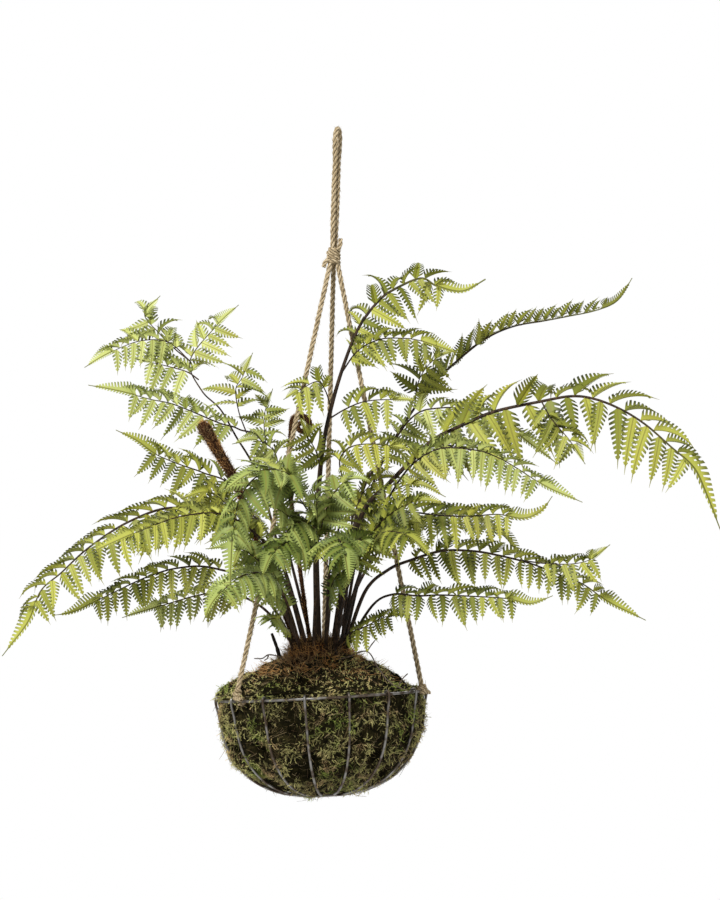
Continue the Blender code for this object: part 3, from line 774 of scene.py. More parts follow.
soil, nodes = new_material("soil", Roughness=1.0, Specular_IOR_Level=0.05)
crumbs = object_noise(nodes, 260, 5, roughness=0.7)
crumbs.ramp((0.3, (0.008, 0.005, 0.003)), (0.7, (0.06, 0.035, 0.02))).to("Base Color")
roughen(nodes, crumbs, 0.003)
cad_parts["root_ball"].data.materials.clear()
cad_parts["root_ball"].data.materials.append(soil)
print("moss, straw and soil are ready")

# %% [markdown]
# ## The bowl of moss
# The bowl starts as a sphere cut at the rim. Its points are placed on the basket's own curve, and noise
# then pushes it out between the wires and leaves hollows. Only after that does it get its thickness,
# inwards.

# %% Moss bowl
LINING_RADIUS = 0.1018
LINING_DEPTH = 0.0975
LINING_WALL = 0.009
HOLLOW_DEPTH = 0.026


def hollowness(points):
    """How far into a hollow the moss is at each point of its smooth shape: 0 outside the hollows."""
    return np.clip(noise_at(points, 0.026, 9.0) - 0.05, 0, 1)


def lumps(points, out):
    """Points of tangled moss, which stands in or out of its smooth shape."""
    soft = noise_at(points, 0.024) * 0.0042 + noise_at(points, 0.009, 3.0) * 0.0018
    return points + out * (soft - hollowness(points) * HOLLOW_DEPTH)[:, None]


def shaped(thing, place):
    """Move each point of a new object as a function of all of them says."""
    points = rows_of(thing.data.vertices)
    thing.data.vertices.foreach_set("co", place(points).astype(np.float32).ravel())
    thing.data.update()


def bowl_places(points):
    """Points of a unit half sphere, on the basket's rounder and flatter curve."""
    level = np.clip(-points[:, 2], 0, 1)
    reach = np.sqrt(1 - level ** 2)
    radius = LINING_RADIUS * reach ** (2 / BOWL_POWER)
    turn = np.arctan2(points[:, 1], points[:, 0])
    return np.column_stack([radius * np.cos(turn), radius * np.sin(turn),
                            -LINING_DEPTH * level ** (2 / BOWL_POWER)])


bowl = new_primitive("moss_bowl", bpy.ops.mesh.primitive_uv_sphere_add, segments=256, ring_count=128)
cut_off(keep_below=True)
shaped(bowl, bowl_places)
shaped(bowl, lambda points: lumps(points, rows_of(bowl.data.vertices, "normal")))
bowl.data.transform(BASKET)
bpy.ops.object.shade_smooth()
print("bowl surface", len(bowl.data.vertices), "points")

# %% [markdown]
# ## The mound
# On top, more moss is heaped from the rim up to the crown. A low cylinder's top face is inset many times,
# and the rings are lifted to the heap's outline. Its underside stays flat on the root ball.

# %% Moss mound
MOUND_RINGS = 46
MOUND_SHIFT = 0.009
MOUND_RADIUS = 0.0965
MOUND_FOOT = 0.0026
MOUND_TOP = 0.0028
MOUND_OUTLINE = [(0, 0.0335), (0.037, 0.0370), (0.046, 0.0335), (0.056, 0.0285), (0.069, 0.0225),
                 (0.080, 0.0165), (0.088, 0.0115), (0.093, 0.0065), (0.0965, 0.003)]
mound = new_primitive("moss_mound_bed", bpy.ops.mesh.primitive_cylinder_add, vertices=180,
                      radius=MOUND_RADIUS, depth=0.001, location=(0, 0, MOUND_FOOT))
select_none("FACE")
for face in mound.data.polygons:
    face.select = face.normal.z > 0.5
with edit_mode():
    for _ in range(MOUND_RINGS):
        bpy.ops.mesh.inset(thickness=MOUND_RADIUS / (MOUND_RINGS + 1))
    bpy.ops.mesh.poke()
mound.data.transform(Matrix.Translation((0, 0, MOUND_FOOT)))


def mound_places(points):
    """Lift the top to the heap's outline, with lumps, and leave the underside flat."""
    radius = np.hypot(points[:, 0], points[:, 1])
    top = points[:, 2] > MOUND_TOP
    height = np.interp(radius, *zip(*MOUND_OUTLINE))
    raised = np.column_stack([points[:, 0], points[:, 1], height])
    out = np.tile([0.0, 0.0, 1.0], (len(points), 1))
    raised = lumps(raised, out * np.clip((MOUND_RADIUS - radius) / 0.006, 0, 1)[:, None])
    raised[:, 0] -= MOUND_SHIFT * np.clip(radius / 0.05 - 1, 0, 1)
    return np.where(top[:, None], np.maximum(raised, [-1, -1, MOUND_TOP]), points)


shaped(mound, mound_places)
mound.data.transform(BASKET)
bpy.ops.object.shade_smooth()
print("mound", len(mound.data.vertices), "points")

# %% [markdown]
# ## Sprigs
# A moss sprig is a bent stem with tiny pointed leaves. One is made from thin cones. Thousands of copies lie
# over the bowl and the mound in every direction, denser and longer where the moss stands out, and few in
# the hollows, so that the bed, painted nearly black as shade, shows there. Straw and dead twigs are caught
# between them.

# %% Sprig and fibre shapes
def thin_cone(root, tip, thick, thin):
    """A tapered three-sided cone from root to tip, with its wide end at the root."""
    root, tip = Vector(root), Vector(tip)
    axis = tip - root
    bpy.ops.mesh.primitive_cone_add(vertices=3, radius1=thick, radius2=thin, depth=axis.length,
                                    location=(root + tip) / 2,
                                    rotation=axis.to_track_quat("Z", "X").to_euler())
    return bpy.context.object


def cut_across(places):
    """Cut the active mesh across X at these places, so that it can bend there."""
    bpy.ops.object.transform_apply()
    with edit_mode():
        for place in places:
            bpy.ops.mesh.select_all(action="SELECT")
            bpy.ops.mesh.bisect(plane_co=(place, 0, 0), plane_no=(1, 0, 0))


def fibre_shape(thick, thin, cuts):
    """A plain tapered fibre."""
    bpy.ops.object.select_all(action="DESELECT")
    fibre = thin_cone((0, 0, 0), (1, 0, 0), thick, thin)
    cut_across(cuts)
    return take_shape(fibre)


def sprig_shape():
    """A stem with six pointed leaves."""
    parts = [thin_cone((0, 0, 0), (1, 0, 0), 0.09, 0.03)]
    for i in range(6):
        turn = i * 2.4
        place = 0.22 + 0.125 * i
        reach = 0.62 - 0.05 * i
        parts.append(thin_cone((place, 0, 0), (place + 0.2, reach * math.cos(turn), reach * math.sin(turn)),
                               0.10, 0))
    select_only(*parts)
    bpy.ops.object.join()
    cut_across((0.45,))
    return take_shape(bpy.context.object)


sprig = sprig_shape()
fibre = fibre_shape(0.5, 0.2, (0.2, 0.4, 0.6, 0.8))
hair = fibre_shape(0.5, 0.1, (0.35, 0.7))
print("a sprig has", len(sprig[1]), "triangles, a fibre", len(fibre[1]), "and a hair", len(hair[1]))

# %% Moss sprigs
CROWN_FOOT = 0.0330
FUR_REACH = 0.084
FUR_SIDE = math.radians(120)
SPRIG_WIDTH = 0.27
plumb = np.array(BASKET.to_3x3() @ Vector((0, 0, 1)))
crown_middle = np.array(BASKET @ Vector((0, 0, CROWN_FOOT)))


def near_crown(points, out):
    """Roots and fur spill over the mound, most of all at its front left."""
    spill = points - crown_middle
    reach = np.hypot(spill[:, 0], spill[:, 1])
    front = 0.5 + 0.5 * np.cos(np.arctan2(spill[:, 1], spill[:, 0]) + FUR_SIDE)
    return (out[:, 2] > 0.1) * np.clip((FUR_REACH - reach) / 0.024, 0, 1) * front ** 2.5


def fullness(points):
    """How thickly sprigs grow here: few in the hollows, which the basket's own points tell."""
    in_basket = (np.array(BASKET.inverted().to_3x3()) @ (points - np.array(rim_middle)).T).T
    return np.clip(0.70 + 1.7 * noise_at(points, 0.011, 5.0) - 2.2 * hollowness(in_basket) / 0.2, 0.01, 1)


def moss_cover(name, bed, count, keep, longest=0.0092, paleness_and_painted_light=0.0):
    """A tangle of sprigs over part of a bed. longest is in metres, and paleness_and_painted_light makes all
    of them paler.
    """
    root, out = scatter(bed, count, keep)
    clump = np.clip(0.5 + 0.9 * noise_at(root, 0.006, 2.0), 0, 1)
    size = longest * (0.5 + 0.5 * random.random(count)) * (0.65 + 0.35 * clump)
    tint = np.clip(paleness_and_painted_light + 0.9 * clump - 0.1 + 0.6 * (random.random(count) ** 2 - 0.2), 0, 1)
    way = lying(out, random.uniform(0.1, 1.1, (count, 1)), (0, 0, -0.35))
    data = bent_copies(sprig, root - out * 0.0008, way, out, size, size * SPRIG_WIDTH,
                       random.uniform(-1.9, 0.6, count), random.uniform(-0.8, 0.8, count), 0, tint)
    finish_piece(mesh_piece(name, *data), moss_sprig, "moss")


def facing(angle):
    """Keeps the quarter of a surface that is on one side of the basket."""
    def keep(points, out):
        turn = np.arctan2(points[:, 1] - rim_middle.y, points[:, 0] - rim_middle.x)
        inside = np.abs((turn - angle + math.pi) % math.tau - math.pi) <= math.pi / 4
        return inside * fullness(points)
    return keep


def half_of_top(near):
    """Keeps the front half of the mound (1) or the back half (-1), with less where the fur lies."""
    def keep(points, out):
        half = (out[:, 2] > 0.1) * ((rim_middle.y - points[:, 1]) * near > 0)
        return half * (0.3 + fullness(points)) * (1 - near_crown(points, out))
    return keep


# The left side is made paler than the others as painted light, where the key light falls from the front left.
SIDES = {  # angle round the basket, glow
    "front": (-math.pi / 2, 0.05),
    "right": (0, 0.1),
    "left": (math.pi, 0.25),
    "back": (math.pi / 2, 0.05),
}
for name, (angle, paleness_and_painted_light) in SIDES.items():
    moss_cover(f"moss_{name}", bowl, 3700, facing(angle), paleness_and_painted_light=paleness_and_painted_light)
for name, near in (("top_front", 1), ("top_back", -1)):
    moss_cover(f"moss_{name}", mound, 3900, half_of_top(near), longest=0.0106, paleness_and_painted_light=0.5)

# %% Beds
solid = bowl.modifiers.new("wall", "SOLIDIFY")
solid.thickness = LINING_WALL
solid.offset = -1
select_only(bowl)
bpy.ops.object.modifier_apply(modifier=solid.name)
finish_piece(bowl, moss_bed_shade, "moss", "moss_lining")
finish_piece(mound, moss_bed_shade, "moss", "moss_mound")

# %% [markdown]
# ## Crown
# A fern's fronds rise from one short stock. It is wrapped in rust-brown fur and old roots, which also lie
# over the front of the moss. The stock is a dome with a lumpy skin, and most of what shows is fibre.

# %% Fur materials
crown_bed, nodes = new_material("crown_bed", Roughness=1.0, Specular_IOR_Level=0.05)
grain = object_noise(nodes, 240, 4, roughness=0.7)
grain.ramp((0.3, (0.010, 0.005, 0.003)), (0.7, (0.075, 0.032, 0.014))).to("Base Color")
roughen(nodes, grain, 0.003)

fur, nodes = new_material("crown_fur", Roughness=0.8, Specular_IOR_Level=0.15)
_, _, tint = marks_of(nodes)
rusty = object_noise(nodes, 45, 2).above(0.42, 0.62)
dark = tint.mix((0.050, 0.030, 0.014), (0.60, 0.39, 0.19))
rust = tint.mix((0.18, 0.080, 0.028), (0.95, 0.52, 0.19))
rusty.mix(dark, rust).to("Base Color")
print("fur is ready")

# %% Crown
CROWN_OUTLINE = [(0, 0.0235), (0.018, 0.0230), (0.025, 0.0190), (0.030, 0.0115), (0.036, 0.0045), (0.042, 0)]
crown = new_primitive("crown_stock", bpy.ops.mesh.primitive_uv_sphere_add, segments=96, ring_count=48)
cut_off(keep_below=False)


def crown_places(points):
    """A half sphere, drawn out to a stump with a flared foot."""
    level = np.clip(points[:, 2], 0, 1)
    reach = np.hypot(points[:, 0], points[:, 1])
    turn = np.arctan2(points[:, 1], points[:, 0])
    radius = CROWN_OUTLINE[-1][0] * np.where(level > 0.001, 1 - level, reach)
    height = np.where(level > 0.001, np.interp(radius, *zip(*CROWN_OUTLINE)), 0)
    dome = np.column_stack([radius * np.cos(turn), radius * np.sin(turn), CROWN_FOOT + height])
    rough = noise_at(dome, 0.006, 4.0) * 0.0022 * (level > 0.01)
    return dome + rough[:, None] * np.array([0.6, 0.6, 1.0])


shaped(crown, crown_places)
crown.data.transform(BASKET)
bpy.ops.object.shade_smooth()
finish_piece(crown, crown_bed, "crown_fur", "crown")

# %% Crown fibres
def radial(root):
    """The level way out from the crown's axis at each root."""
    out = root - crown_middle
    return unit(out - np.outer(out @ plumb, plumb))


def hairs_at(root, way, out, sizes, bends, least_tint):
    """Fur at these roots, with chance sizes and bends from these ranges."""
    count = len(root)
    return bent_copies(hair, root, way, out, random.uniform(*sizes, count),
                       random.uniform(0.0004, 0.0009, count), random.uniform(*bends, count),
                       random.uniform(-0.8, 0.8, count),
                       tint=least_tint + (1 - least_tint) * random.random(count))


root, out = scatter(crown, 3200, lambda points, out: out[:, 2] > -0.1)
way = plumb * 0.35 + radial(root) * 0.5 + random.normal(size=root.shape) * 0.55
on_stock = hairs_at(root - out * 0.001, way, out, (0.004, 0.013), (-1.2, 0.6), 0)
root, out = scatter(mound, 2900, near_crown)
way = radial(root) * 0.8 - plumb * 0.2 + random.normal(size=root.shape) * 0.45 + out * 0.25
on_moss = hairs_at(root, way, out, (0.006, 0.015), (-1.4, 0.2), 0.25)
finish_piece(mesh_piece("crown_fibres", *joined([on_stock, on_moss])), fur, "crown_fur")

# %% [markdown]
# ## Straw and loose bits
# Dry grass, thin twigs and long moss threads are caught all over the moss, and a few ends hang off below.

# %% Straw
def outside(points, out):
    """Keeps what looks out of the basket, and not the lining's inner wall."""
    return (out * (points - np.array(rim_middle))).sum(axis=1) > 0


parts = []
for bed, count in ((bowl, 380), (mound, 190)):
    root, out = scatter(bed, count, outside)
    size = random.uniform(0.006, 0.019, count)
    parts.append(bent_copies(fibre, root + out * 0.0012, lying(out, 0.25, (0, 0, -0.3)), out, size,
                             random.uniform(0.0003, 0.0008, count), -random.uniform(10, 45, count) * size,
                             random.uniform(-1.4, 1.4, count), tint=random.random(count) ** 1.5))
for bed, count in ((bowl, 2600), (mound, 1100)):
    root, out = scatter(bed, count, outside)
    parts.append(bent_copies(hair, root + out * 0.001, lying(out, 0.5, (0, 0, -0.2)), out,
                             random.uniform(0.004, 0.011, count), random.uniform(0.00018, 0.0004, count),
                             random.uniform(-2.2, 0.3, count), random.uniform(-1.6, 1.6, count),
                             tint=0.1 + 0.9 * random.random(count) ** 1.3))
root, out = scatter(bowl, 46, lambda points, out: (out[:, 2] < -0.55) * 1.0)
parts.append(bent_copies(fibre, root, unit(out + random.normal(size=out.shape) * 0.5), out,
                         random.uniform(0.006, 0.012, len(root)), random.uniform(0.0004, 0.0008, len(root)),
                         random.uniform(-0.8, 0.8, len(root)), tint=random.random(len(root)) * 0.5))
finish_piece(mesh_piece("straw_bits", *joined(parts)), straw, "moss")

# %% [markdown]
# ## Fern colours
# A leaflet is bright yellow-green along its midrib and in its web, and a darker olive out on its teeth. That
# contrast is partly its own colour and partly painted light glowing through the web and painted shade on the
# teeth, and the teeth are painted darker still towards their tips and on their trailing sides, as shade where
# they curl down. Each leaflet has a tint of its own, and whole fronds differ: those at the upper left are
# pale, and those in front are a cooler, paler green, partly their own and partly painted highlight. The
# stems are nearly black at the foot and turn green only at their ends.

# %% Leaf and stem materials
def leaf_material(name, web, tooth):
    """A leaf whose web and teeth each run between two colours with the leaflet's tint, with painted shade at
    the tooth tips and on their trailing sides.
    """
    leaf, nodes = new_material(name, Roughness=0.55, Specular_IOR_Level=0.3)
    tooth_shade_side, across, tint = marks_of(nodes)
    mottle = object_noise(nodes, 130, 3)
    yellowed = object_noise(nodes, 14, 2).above(0.54, 0.72) * 0.6
    # The web is lighter than the teeth: partly the leaf's own colour, and partly painted light glowing
    # through the web and painted shade on the teeth.
    blade = across.above(0.10, 0.70).mix(tint.mix(*web), tint.mix(*tooth))
    blade = yellowed.mix(blade, across.above(0.12, 0.75).mix((0.44, 0.40, 0.045), (0.16, 0.15, 0.02)))
    # Painted shade: the blade darkens towards its tooth tips and on the trailing side of each tooth, where
    # curled-down teeth fall into shade.
    edge = (across * 0.7 + mottle * 0.5 + tooth_shade_side * 0.3).above(0.62, 1.25)
    blade = (edge * 0.85).mix(blade, (0.018, 0.022, 0.004))
    (across.above(0.03, 0.09) * 0.75 + 0.25).mix(MIDRIB, blade).to("Base Color")
    roughen(nodes, mottle, 0.0006, 0.5)
    return leaf


MIDRIB = (0.22, 0.20, 0.035)
olive_leaf = leaf_material("fern_leaf", ((0.165, 0.190, 0.017), (0.50, 0.51, 0.085)),
                           ((0.042, 0.054, 0.006), (0.18, 0.195, 0.028)))
pale_leaf = leaf_material("fern_leaf_pale", ((0.29, 0.335, 0.068), (0.60, 0.64, 0.21)),
                          ((0.105, 0.130, 0.022), (0.32, 0.36, 0.09)))
# The front fronds' cooler, paler green is partly their own colour and partly painted highlight.
front_leaf = leaf_material("fern_leaf_front", ((0.15, 0.200, 0.030), (0.43, 0.50, 0.14)),
                           ((0.062, 0.092, 0.014), (0.26, 0.32, 0.085)))

stem, nodes = new_material("fern_stem", Roughness=0.6, Specular_IOR_Level=0.2)
along, _, tint = marks_of(nodes)
bark = object_noise(nodes, 420, 3, (1, 1, 0.12))
dark = (bark * 0.8 + tint * 0.3).above(0.35, 0.9).mix((0.008, 0.005, 0.003), (0.115, 0.066, 0.036))
along.above(0.72, 1.0).mix(dark, (0.16, 0.17, 0.035)).to("Base Color")
roughen(nodes, bark, 0.0008, 0.7)
print("leaf and stem are ready")

# %% [markdown]
# ## The fronds' routes
# Each frond is a list of branches, the first from the crown and the others from a point on it. A branch is
# its leaflets' length, the share of its route that is bare stem, the turn of its blade from lying flat (0)
# to facing the front (90), the radius of its stem, and its route in millimetres in the drawing.

# %% Routes
FRONDS = {
    "frond_upper_left": [
        (32, 0.78, 60, 1.7, [(-34, 8, -519), (-58, 30, -430), (-80, 44, -352), (-104, 50, -309),
            (-119, 52, -283), (-138, 55, -264), (-150, 58, -234), (-124, 62, -199), (-101, 66, -177)]),
        (33, 0.2, 60, 1.0, [(-150, 58, -234), (-165, 58, -222), (-182, 57, -205), (-196, 56, -186),
            (-180, 57, -168)]),
        (33, 0.15, 60, 1.0, [(-141, 56, -253), (-153, 54, -245), (-174, 50, -239), (-187, 46, -236),
            (-210, 40, -231)]),
        (29, 0.15, 60, 0.9, [(-150, 58, -234), (-172, 54, -215), (-200, 46, -214), (-230, 36, -226),
            (-255, 27, -241)]),
    ],
    "frond_high_left": [
        (30, 0.62, 60, 1.6, [(-26, 14, -519), (-50, 26, -425), (-73, 26, -322), (-100, 24, -303),
            (-119, 23, -297), (-150, 20, -284), (-169, 17, -277), (-189, 14, -273), (-215, 10, -266),
            (-250, 4, -259)]),
        (30, 0.3, 60, 1.0, [(-92, 25, -307), (-100, 28, -285), (-103, 30, -263), (-96, 32, -250),
            (-86, 34, -226)]),
        (26, 0.2, 60, 1.0, [(-70, 26, -334), (-74, 36, -308), (-74, 44, -286), (-66, 50, -262)]),
        (28, 0.15, 60, 1.0, [(-62, 26, -372), (-62, 24, -330), (-82, 14, -314), (-106, 4, -318)]),
    ],
    "frond_middle_left": [
        (32, 0.56, 60, 1.6, [(-38, 4, -519), (-76, 6, -414), (-106, 4, -361), (-134, -4, -347),
            (-159, -10, -338), (-182, -16, -328), (-200, -20, -315), (-221, -24, -304)]),
    ],
    "frond_long_left": [
        (39, 0.38, 50, 2.0, [(-38, -14, -519), (-64, -24, -462), (-88, -34, -425), (-123, -58, -392),
            (-164, -80, -381), (-206, -96, -395), (-244, -106, -420), (-270, -114, -444), (-290, -118, -462),
            (-302, -120, -492), (-327, -124, -525)]),
        (34, 0.15, 50, 1.0, [(-88, -34, -425), (-104, -58, -386), (-126, -76, -366), (-154, -90, -372)]),
    ],
    "frond_front_left": [
        (30, 0.48, 50, 1.6, [(-31, -20, -519), (-50, -66, -460), (-72, -96, -415), (-108, -118, -388),
            (-149, -134, -388), (-190, -150, -402), (-240, -166, -424)]),
        (34, 0.15, 50, 1.0, [(-50, -66, -460), (-76, -80, -414), (-108, -100, -388), (-152, -114, -388)]),
    ],
    "frond_low_left": [
        (30, 0.42, 55, 1.6, [(-43, -8, -519), (-80, -28, -460), (-124, -42, -441), (-159, -50, -441),
            (-192, -56, -451), (-236, -62, -472), (-261, -66, -484), (-280, -68, -487)]),
    ],
    "frond_lowest_left": [
        (26, 0.4, 55, 1.5, [(-45, 1, -519), (-75, 0, -482), (-111, -4, -466), (-139, -8, -469),
            (-165, -12, -476), (-188, -16, -483), (-215, -20, -491)]),
    ],
    "frond_front_high": [
        (34, 0.5, 30, 1.7, [(-24, -24, -519), (-22, -70, -430), (-30, -108, -372), (-50, -138, -346),
            (-82, -166, -346), (-112, -190, -366)]),
        (24, 0.25, 45, 1.0, [(-27, -98, -386), (-46, -98, -362), (-70, -100, -350), (-94, -104, -352)]),
        (28, 0.25, 45, 1.0, [(-22, -70, -430), (-14, -84, -392), (-2, -94, -364), (16, -102, -352),
            (36, -108, -356)]),
        (36, 0.1, 60, 1.2, [(-30, -108, -372), (-52, -130, -350), (-78, -148, -350), (-94, -164, -371),
            (-100, -176, -400), (-102, -182, -431), (-103, -184, -458)]),
        (31, 0.1, 50, 1.0, [(-22, -70, -430), (-36, -98, -404), (-54, -126, -384), (-76, -154, -376)]),
        (31, 0.1, 50, 1.0, [(-25, -90, -400), (-36, -118, -394), (-54, -142, -408), (-74, -158, -432)]),
        (29, 0.1, 50, 1.0, [(-22, -70, -430), (-20, -100, -386), (-22, -120, -358), (-12, -140, -348)]),
    ],
    "frond_front_low": [
        (32, 0.45, 35, 1.6, [(-38, -24, -519), (-50, -84, -474), (-66, -124, -446), (-92, -166, -446),
            (-116, -206, -466), (-128, -226, -488)]),
        (28, 0.1, 50, 1.0, [(-50, -84, -474), (-70, -108, -440), (-96, -126, -420), (-128, -140, -420)]),
        (24, 0.2, 50, 1.0, [(-45, -60, -491), (-54, -80, -468), (-66, -94, -462), (-80, -106, -476)]),
    ],
    "frond_small_left": [
        (22, 0.45, 45, 1.2, [(-46, -16, -519), (-53, -44, -502), (-62, -70, -490), (-76, -94, -496)]),
    ],
    "frond_front": [
        (34, 0.45, 25, 1.7, [(-12, -27, -519), (-8, -84, -440), (-2, -140, -410), (6, -196, -420),
            (12, -240, -452)]),
        (30, 0.25, 40, 1.0, [(-8, -84, -440), (-24, -108, -420), (-44, -138, -412), (-62, -172, -424),
            (-72, -200, -446)]),
        (24, 0.1, 50, 1.0, [(-8, -84, -440), (5, -108, -418), (24, -128, -412), (44, -144, -424)]),
        (24, 0.1, 50, 1.0, [(-10, -56, -479), (-3, -82, -451), (14, -100, -440), (34, -114, -448)]),
    ],
    "frond_front_right": [
        (32, 0.45, 35, 1.6, [(-4, -25, -519), (14, -74, -446), (38, -118, -408), (66, -160, -406),
            (92, -196, -428)]),
        (28, 0.25, 50, 1.0, [(14, -74, -446), (28, -88, -414), (50, -104, -388), (78, -120, -374),
            (106, -134, -376)]),
        (26, 0.15, 50, 1.0, [(14, -74, -446), (34, -84, -412), (58, -98, -396), (90, -108, -396)]),
    ],
    "frond_tall": [
        (34, 0.66, 60, 3.2, [(-20, -4, -519), (-22, -8, -420), (-20, -9, -374), (-15, -10, -321),
            (-5, -14, -275), (8, -17, -233), (22, -18, -200), (41, -20, -175), (58, -21, -163),
            (83, -22, -153), (99, -22, -161), (124, -23, -166), (147, -24, -154)]),
        (30, 0.3, 60, 1.0, [(-7, -13, -283), (-12, -20, -266), (-20, -28, -256), (-34, -34, -262),
            (-54, -38, -274)]),
        (26, 0.12, 60, 1.2, [(3, -15.5, -248), (20, -22, -225), (42, -28, -214), (64, -32, -213),
            (80, -35, -215), (98, -38, -221), (122, -40, -229)]),
        (32, 0.2, 60, 1.2, [(-9, -12, -293), (8, -22, -283), (26, -30, -276), (48, -35, -274),
            (80, -40, -275)]),
        (30, 0.1, 60, 1.0, [(-17, -9.6, -346), (-22, -30, -325), (-31, -46, -309), (-38, -58, -290)]),
    ],
    "frond_middle": [
        (32, 0.66, 50, 1.6, [(4, 8, -519), (14, -4, -393), (6, -22, -358), (2, -34, -334), (13, -44, -321),
            (34, -52, -318), (58, -58, -321), (84, -62, -330)]),
        (28, 0.1, 50, 1.0, [(14, -4, -393), (26, -20, -366), (44, -34, -352), (66, -44, -352)]),
    ],
    "frond_upper_right": [
        (28, 0.52, -25, 2.0, [(-2, 14, -519), (22, 30, -374), (47, 36, -331), (66, 42, -298), (96, 52, -257),
            (132, 62, -224), (155, 68, -208), (180, 73, -198), (208, 78, -193), (234, 82, -188),
            (262, 86, -182), (284, 88, -172), (299, 90, -149)]),
        (32, 0.16, 60, 1.0, [(77, 46, -281), (80, 34, -258), (88, 24, -242), (100, 16, -231),
            (118, 10, -224)]),
    ],
    "frond_inner_right": [
        (30, 0.5, 55, 1.6, [(4, -2, -519), (28, 6, -380), (54, 8, -320), (77, 6, -289), (102, 2, -282),
            (130, -2, -283), (148, -4, -290), (170, -7, -301), (192, -10, -318), (218, -14, -337)]),
    ],
    "frond_long_right": [
        (53, 0.42, 60, 2.8, [(-4, -12, -519), (8, -24, -440), (26, -34, -384), (50, -42, -358),
            (76, -50, -331), (96, -56, -313), (124, -62, -299), (155, -66, -286), (201, -70, -276),
            (231, -72, -271), (254, -74, -274), (279, -76, -284), (303, -78, -299), (327, -80, -320),
            (350, -82, -341), (362, -84, -366), (377, -84, -404)]),
        (32, 0.14, 60, 1.0, [(201, -70, -276), (208, -80, -290), (219, -86, -304), (229, -90, -316),
            (243, -94, -338)]),
    ],
    "frond_mid_right": [
        (30, 0.5, 55, 1.6, [(6, -14, -519), (30, -46, -420), (62, -78, -352), (96, -96, -324),
            (134, -108, -324), (156, -112, -331), (174, -115, -341), (206, -120, -361), (239, -124, -375)]),
        (28, 0.15, 55, 1.0, [(62, -78, -352), (88, -70, -322), (114, -70, -320), (142, -74, -328),
            (172, -80, -336)]),
    ],
    "frond_level_right": [
        (34, 0.42, 55, 1.6, [(2, -20, -519), (22, -46, -446), (44, -66, -402), (66, -80, -386),
            (98, -92, -388), (129, -100, -389), (157, -106, -387), (181, -110, -391), (199, -112, -384),
            (210, -114, -369)]),
        (26, 0.1, 55, 1.0, [(22, -46, -446), (34, -62, -394), (56, -78, -364), (80, -90, -358),
            (106, -98, -370)]),
    ],
    "frond_low_right": [
        (32, 0.34, 55, 1.9, [(8, -6, -519), (27, -22, -465), (50, -34, -443), (73, -42, -433),
            (103, -48, -424), (133, -52, -424), (158, -56, -428), (190, -60, -436), (221, -63, -448),
            (243, -64, -457), (269, -66, -475), (304, -68, -492)]),
        (24, 0.3, 55, 1.0, [(178, -58.5, -432.5), (206, -70, -436), (232, -78, -436), (250, -80, -431),
            (268, -82, -417)]),
    ],
    "frond_lowest_right": [
        (30, 0.4, 50, 1.5, [(10, -16, -519), (34, -60, -478), (54, -84, -466), (78, -98, -467),
            (101, -106, -466), (132, -114, -467), (165, -120, -469), (188, -124, -474), (210, -127, -466)]),
    ],
    "frond_small_front": [
        (22, 0.3, 50, 1.2, [(-2, -30.5, -519.3), (8, -48, -508), (28, -66, -498), (48, -80, -488),
            (74, -92, -486)]),
    ],
    "frond_back_left": [
        (36, 0.42, -10, 1.7, [(-32, 20, -519), (-60, 70, -430), (-96, 120, -384), (-140, 168, -376),
            (-184, 210, -400), (-212, 238, -434)]),
    ],
    "frond_back": [
        (36, 0.42, -15, 1.7, [(-12, 25, -519), (-2, 84, -420), (6, 140, -374), (12, 196, -370),
            (18, 240, -398), (22, 262, -432)]),
    ],
    "frond_back_right": [
        (36, 0.42, -10, 1.7, [(-6, 24, -519), (34, 74, -436), (80, 124, -396), (126, 168, -390),
            (170, 204, -412), (196, 226, -446)]),
    ],
}
print(len(FRONDS), "fronds,", sum(len(branches) for branches in FRONDS.values()), "branches")

# %% [markdown]
# ## One leaflet
# A fern's leaflet is a comb: a narrow web along the midrib, and a row of forward-leaning teeth on each side
# that shorten towards a drawn-out tip. Half of it is a strip of faces. Every second outer edge is extruded
# to a tooth, the outline is set by a formula, and the half is mirrored. It stays a single sheet, because
# there are about a thousand of them. Small leaflets have fewer teeth, so the teeth stay nearly one size.

# %% Leaflet shape
STALK = 0.045
TOOTHED = 0.86
TOOTH_SHARE = 0.72
TOOTH_DROOP = 0.16


